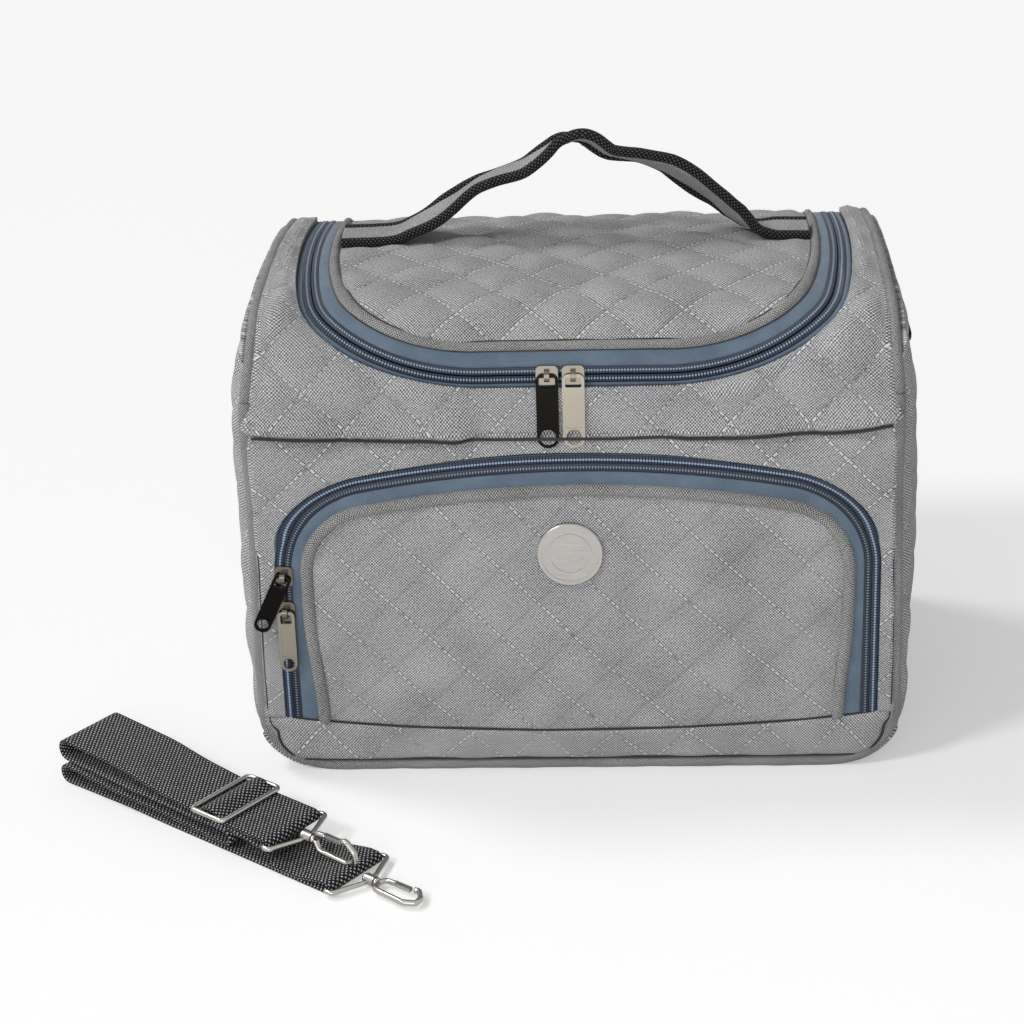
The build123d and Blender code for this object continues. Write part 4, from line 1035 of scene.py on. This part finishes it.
def handle():
    """Quilted strap with a braid along each edge, in two halves whose sewn ends follow the lid."""
    points = np.array(HANDLE_LINE, float)
    length = run_length(points)
    want = np.linspace(0, length[-1], 300)
    line = relax(np.stack([np.interp(want, length, points[:, k]) for k in (0, 1)], -1), 8)
    path = stack(line[:, 0], HANDLE_Y, line[:, 1])
    a, b = frames(path, ALONG_Y)
    b = b * np.sign(b[:, 2:3])
    turn = np.radians(np.interp(line[:, 0], *np.array(HANDLE_TURN, float).T))[:, None]
    a, b = a * np.cos(turn) + b * np.sin(turn), b * np.cos(turn) - a * np.sin(turn)
    angle = np.linspace(0, 2 * pi, 28, endpoint=False)
    width = 10.8 * np.sign(np.cos(angle)) * np.abs(np.cos(angle)) ** 0.35
    swellings = 1 + 0.12 * np.sin(np.linspace(0, 21, len(path)))
    oval = pattern(width, 2.2 * np.sin(angle) * swellings[:, None])
    parts = [("strap", oval, plain, "quilted_fabric", "handle_strap")]
    angle = angle[::2]
    for edge, side in (("front", -1), ("rear", 1)):
        wave = 1.3 * np.sin(np.linspace(0.6 * side, 30 + side, len(path)))
        wave *= smooth((100 - np.abs(line[:, 0] - 4)) / 20)
        ring = pattern(side * 11.8 + 2.3 * np.cos(angle), 2.8 * np.sin(angle) + wave[:, None])
        parts.append((f"{edge}_braid", ring, binding_web, "webbing", f"handle_{edge}_binding"))
    middle = int(np.argmin(np.abs(line[:, 0] - 4)))
    for name, keep, *ends in (
        ("left", slice(0, middle + 1), -88, -70),
        ("right", slice(middle, len(path)), 96, 78),
    ):
        for part, section, material, slot, node in parts:
            mesh = Mesh()
            mesh.sweep(path[keep], a[keep], b[keep], section[keep])
            nodes = [node, f"handle_{name}_end"]
            piece = mesh.make(f"handle_{name}_{part}", None, material, slot, nodes)
            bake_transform(piece)


handle()


# ---- ring tabs
def cheek_x(z):
    """How far out the gusset stands in the middle of its depth."""
    return SIDE_X + bulge(0, z)


RING_Z = 203  # height of the rings' bars
TAB_SIDE = [(-12, -0.3), (-11.6, -0.75), (-6, -0.75), (0, -0.75), (6, -0.75), (11.6, -0.75), (12, -0.3)]


def ring_tabs():
    bar_x = cheek_x(RING_Z) + 3.6
    loop = 2.55  # the wire's radius, its gap and half the tab's thickness
    points = [
        (cheek_x(234) + 1.1, 234), (bar_x - loop, RING_Z + loop), (bar_x - loop, RING_Z - loop),
        (bar_x + loop, RING_Z - loop), (bar_x + loop, RING_Z + loop), (cheek_x(220) + 3.0, 220),
    ]
    line = rounded(points, [loop, loop * 0.98, loop * 0.98, loop * 2], 0.8)
    section = TAB_SIDE + [(-u, -v) for u, v in TAB_SIDE]
    for name, side in SIDES:
        path = stack(side * line[:, 0], 0, line[:, 1])
        mesh = Mesh()
        mesh.sweep(path, *frames(path, ALONG_Y), section, flip=side > 0)
        mesh.make(f"{name}_ring_tab_web", "case", tab_web, "webbing", [f"{name}_ring_tab"])


ring_tabs()


# ---- shoulder strap
STRAP_TURN = radians(-37)
RUN = np.array([cos(STRAP_TURN), sin(STRAP_TURN), 0])
ACROSS = np.array([-sin(STRAP_TURN), cos(STRAP_TURN), 0])
STRAP_FROM = np.array([-263.0, -98.0, 0])


def strap_at(u, z):
    """Point u along the strap's line on the floor and z above it."""
    return STRAP_FROM + np.asarray(u)[..., None] * RUN + np.asarray(z)[..., None] * UP


ROUTE = [  # of the webbing through the hank, u and z, each corner with its radius
    ((112, 12.9), 0), ((129.8, 12.9), 9.6), ((145.2, 10.6), 9.6), ((152.4, 10.6), 2.35),
    ((152.4, 15.4), 2.35), ((145.2, 15.4), 9.6), ((121.6, 15.5), 4), ((114.4, 20.3), 2),
    ((109.6, 20.3), 2), ((102.4, 15.5), 4), ((50, 20.3), 60), ((0, 23.8), 4.77), ((0, 13.2), 4.77),
    ((125, 11.0), 3.51), ((125, 3.2), 3.51), ((2, 10.6), 4.41), ((2, 0.8), 4.41), ((193.4, 0.8), 2.35),
    ((193.4, 5.6), 2.35), ((186.2, 5.6), 9.6), ((171, 2.55), 10), ((151, 2.55), 0),
]


def webbing():
    line = rounded([p for p, _ in ROUTE], [radius for _, radius in ROUTE[1:-1]], 1.1)
    line = relax(line, 2)
    path = strap_at(line[:, 0], line[:, 1])
    a, b = frames(path, ACROSS)
    sway = 2.2 * np.sin(np.linspace(0, 9.0, len(path))) * smooth((80 - line[:, 0]) / 40)
    path = path + ACROSS * sway[:, None]
    edge = np.array([-19, -18.6, -15, -11, -7, -3, 3, 7, 11, 15, 18.6, 19])
    top = np.stack([edge, np.where(np.abs(edge) > 18.8, 0.25, 0.8)], -1)
    mesh = Mesh()
    mesh.sweep(path, a, b, np.concatenate([top, (top * [1, -1])[::-1]]))
    mesh.make("shoulder_strap_web", "strap", strap_web, "webbing", ["shoulder_webbing"])


webbing()


# ---- snap hooks
HOOK_BODY = [
    (16.5, 0), (18.6, -4.6), (22, -5.4), (37.5, -6.2), (43.6, -3.0), (42.6, 1.8), (37.6, 6.4), (35.4, 5.6),
]
HOOK_ARM = [(16.5, 0), (18.4, 4.3), (24.2, 4.8)]
STEM_AT = np.array([8.1, 8.2, 9.0, 9.1, 9.2, 15.1, 15.2, 15.4, 16.8, 17.0])
STEM_RADII = np.array([0.6, 2.5, 2.5, 2.4, 1.6, 1.6, 2.4, 2.5, 2.5, 1.2])


def snap_hook(name, u, z, side, top):
    """Pointed hook body on its swivel stem; side and top are the axes across the stem."""
    place = strap_at(u, z)
    mesh = Mesh()
    for line, radius in ((HOOK_BODY, 1.5), (HOOK_ARM, 1.35)):
        line = rounded(line, [2.0] * (len(line) - 2), 0.8)
        path = place + line[:, :1] * RUN + line[:, 1:] * side
        a, b = frames(path, top)
        mesh.sweep(path, a, b, circle(radius, 12) * np.array([1.1, 1.0]))
    path = place + STEM_AT[:, None] * RUN
    a, b = np.broadcast_to(side, path.shape), np.broadcast_to(top, path.shape)
    mesh.sweep(path, a, b, circle(1.0, 16) * STEM_RADII[:, None, None])
    mesh.make(f"{name}_hook_body", f"{name}_hook", nickel, "nickel", [f"{name}_hook"])


snap_hook("near", 150.0, 13.0, UP, -ACROSS)
snap_hook("far", 191.0, 3.2, ACROSS, UP)


# ---- metal trim from the frame
def dress(name, material, bevel=0.18):
    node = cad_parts[name]
    for slot in node.material_slots:
        slot.material = material
    if bevel:
        edge = node.modifiers.new("Edge", "BEVEL")
        edge.width = bevel / 1000
        edge.segments = 2
        edge.limit_method = "ANGLE"
        edge.angle_limit = radians(40)


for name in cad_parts:
    if name.startswith(("lid_slider", "lid_pull", "pocket_slider", "pocket_pull")):
        dark = name in ("lid_pull_left", "pocket_pull_upper")
        dress(name, slider_metal if "slider" in name else gun if dark else steel)
    elif name in ("strap_buckle", "left_ring", "right_ring") or name.split("_")[0] in ("near", "far"):
        dress(name, nickel, 0.12)
    elif name.startswith("badge"):
        dress(name, disc, 0.25)
    elif name == "base_board":
        dress(name, dark_board, 0)


# ---- camera, floor and light
CAMERA_AT = np.array([31.65, -1317.65, 687.84])


def camera():
    data = bpy.data.cameras.new("camera")
    data.sensor_width, data.lens = 36.0, 2639 / 1024 * 36
    data.clip_start, data.clip_end = 0.05, 50
    e, yaw, roll = radians(24), radians(3), radians(2)
    forward = np.array([-sin(yaw) * cos(e), cos(yaw) * cos(e), -sin(e)])
    right = np.array([cos(yaw), sin(yaw), 0])
    up = np.cross(right, forward)
    right, up = cos(roll) * right - sin(roll) * up, sin(roll) * right + cos(roll) * up
    ob = put_in_scene("camera", data)
    ob.matrix_world = Matrix([*zip(right, up, -forward, CAMERA_AT / 1000), (0, 0, 0, 1)])
    bpy.context.scene.camera = ob


def shown_directly(tree):
    """1 for rays from the camera, from glossy and from transmitting surfaces, 0 for the light they cast."""
    path = add_node(tree, "LightPath")
    total = path.outputs["Is Camera Ray"]
    for name in ("Is Glossy Ray", "Is Transmission Ray"):
        total = add_node(tree, "Math", total, path.outputs[name], operation="MAXIMUM").outputs[0]
    return total


FLOOR = {
    "Base Color": (0.8, 0.8, 0.8, 1), "Roughness": 0.9, "Specular IOR Level": 0.0,
    "Emission Color": (1, 1, 1, 1),
}


def floor():
    data = bpy.data.meshes.new("floor")
    data.from_pydata([(-6, -6, 0), (6, -6, 0), (6, 6, 0), (-6, 6, 0)], [], [(0, 1, 2, 3)])
    material = bpy.data.materials.new("floor_white")
    material.use_nodes = True
    tree = material.node_tree
    shader = tree.nodes["Principled BSDF"]
    for key, value in FLOOR.items():
        shader.inputs[key].default_value = value
    scale = add_node(tree, "Math", shown_directly(tree), 0.34, operation="MULTIPLY")
    tree.links.new(scale.outputs[0], shader.inputs["Emission Strength"])
    data.materials.append(material)
    put_in_scene("floor", data)


LAMPS = (  # name, kind, strength, angle or size, place, turn in degrees
    ("key", "SUN", 0.85, radians(16), (0, 0, 0), (-14, -36, 0)),
    ("relief", "SUN", 1.0, radians(12), (0, 0, 0), (24, -42, 0)),
    ("fill", "AREA", 5.0, 0.9, (-0.25, -1.35, 0.3), (82, 0, -10)),
)


def lights():
    world = bpy.data.worlds.new("studio")
    world.use_nodes = True
    tree = world.node_tree
    background = tree.nodes["Background"]
    background.inputs["Color"].default_value = (1, 1, 1, 1)
    mix = add_node(tree, "MapRange", shown_directly(tree), 0.0, 1.0, 0.3, 1.0)
    tree.links.new(mix.outputs[0], background.inputs["Strength"])
    bpy.context.scene.world = world
    for name, kind, strength, spread, location, turn in LAMPS:
        lamp = bpy.data.lights.new(name, kind)
        lamp.energy = strength
        setattr(lamp, "angle" if kind == "SUN" else "size", spread)
        put_in_scene(name, lamp, location, turn)


camera()
floor()
lights()
bpy.context.scene.view_settings.view_transform = "Standard"
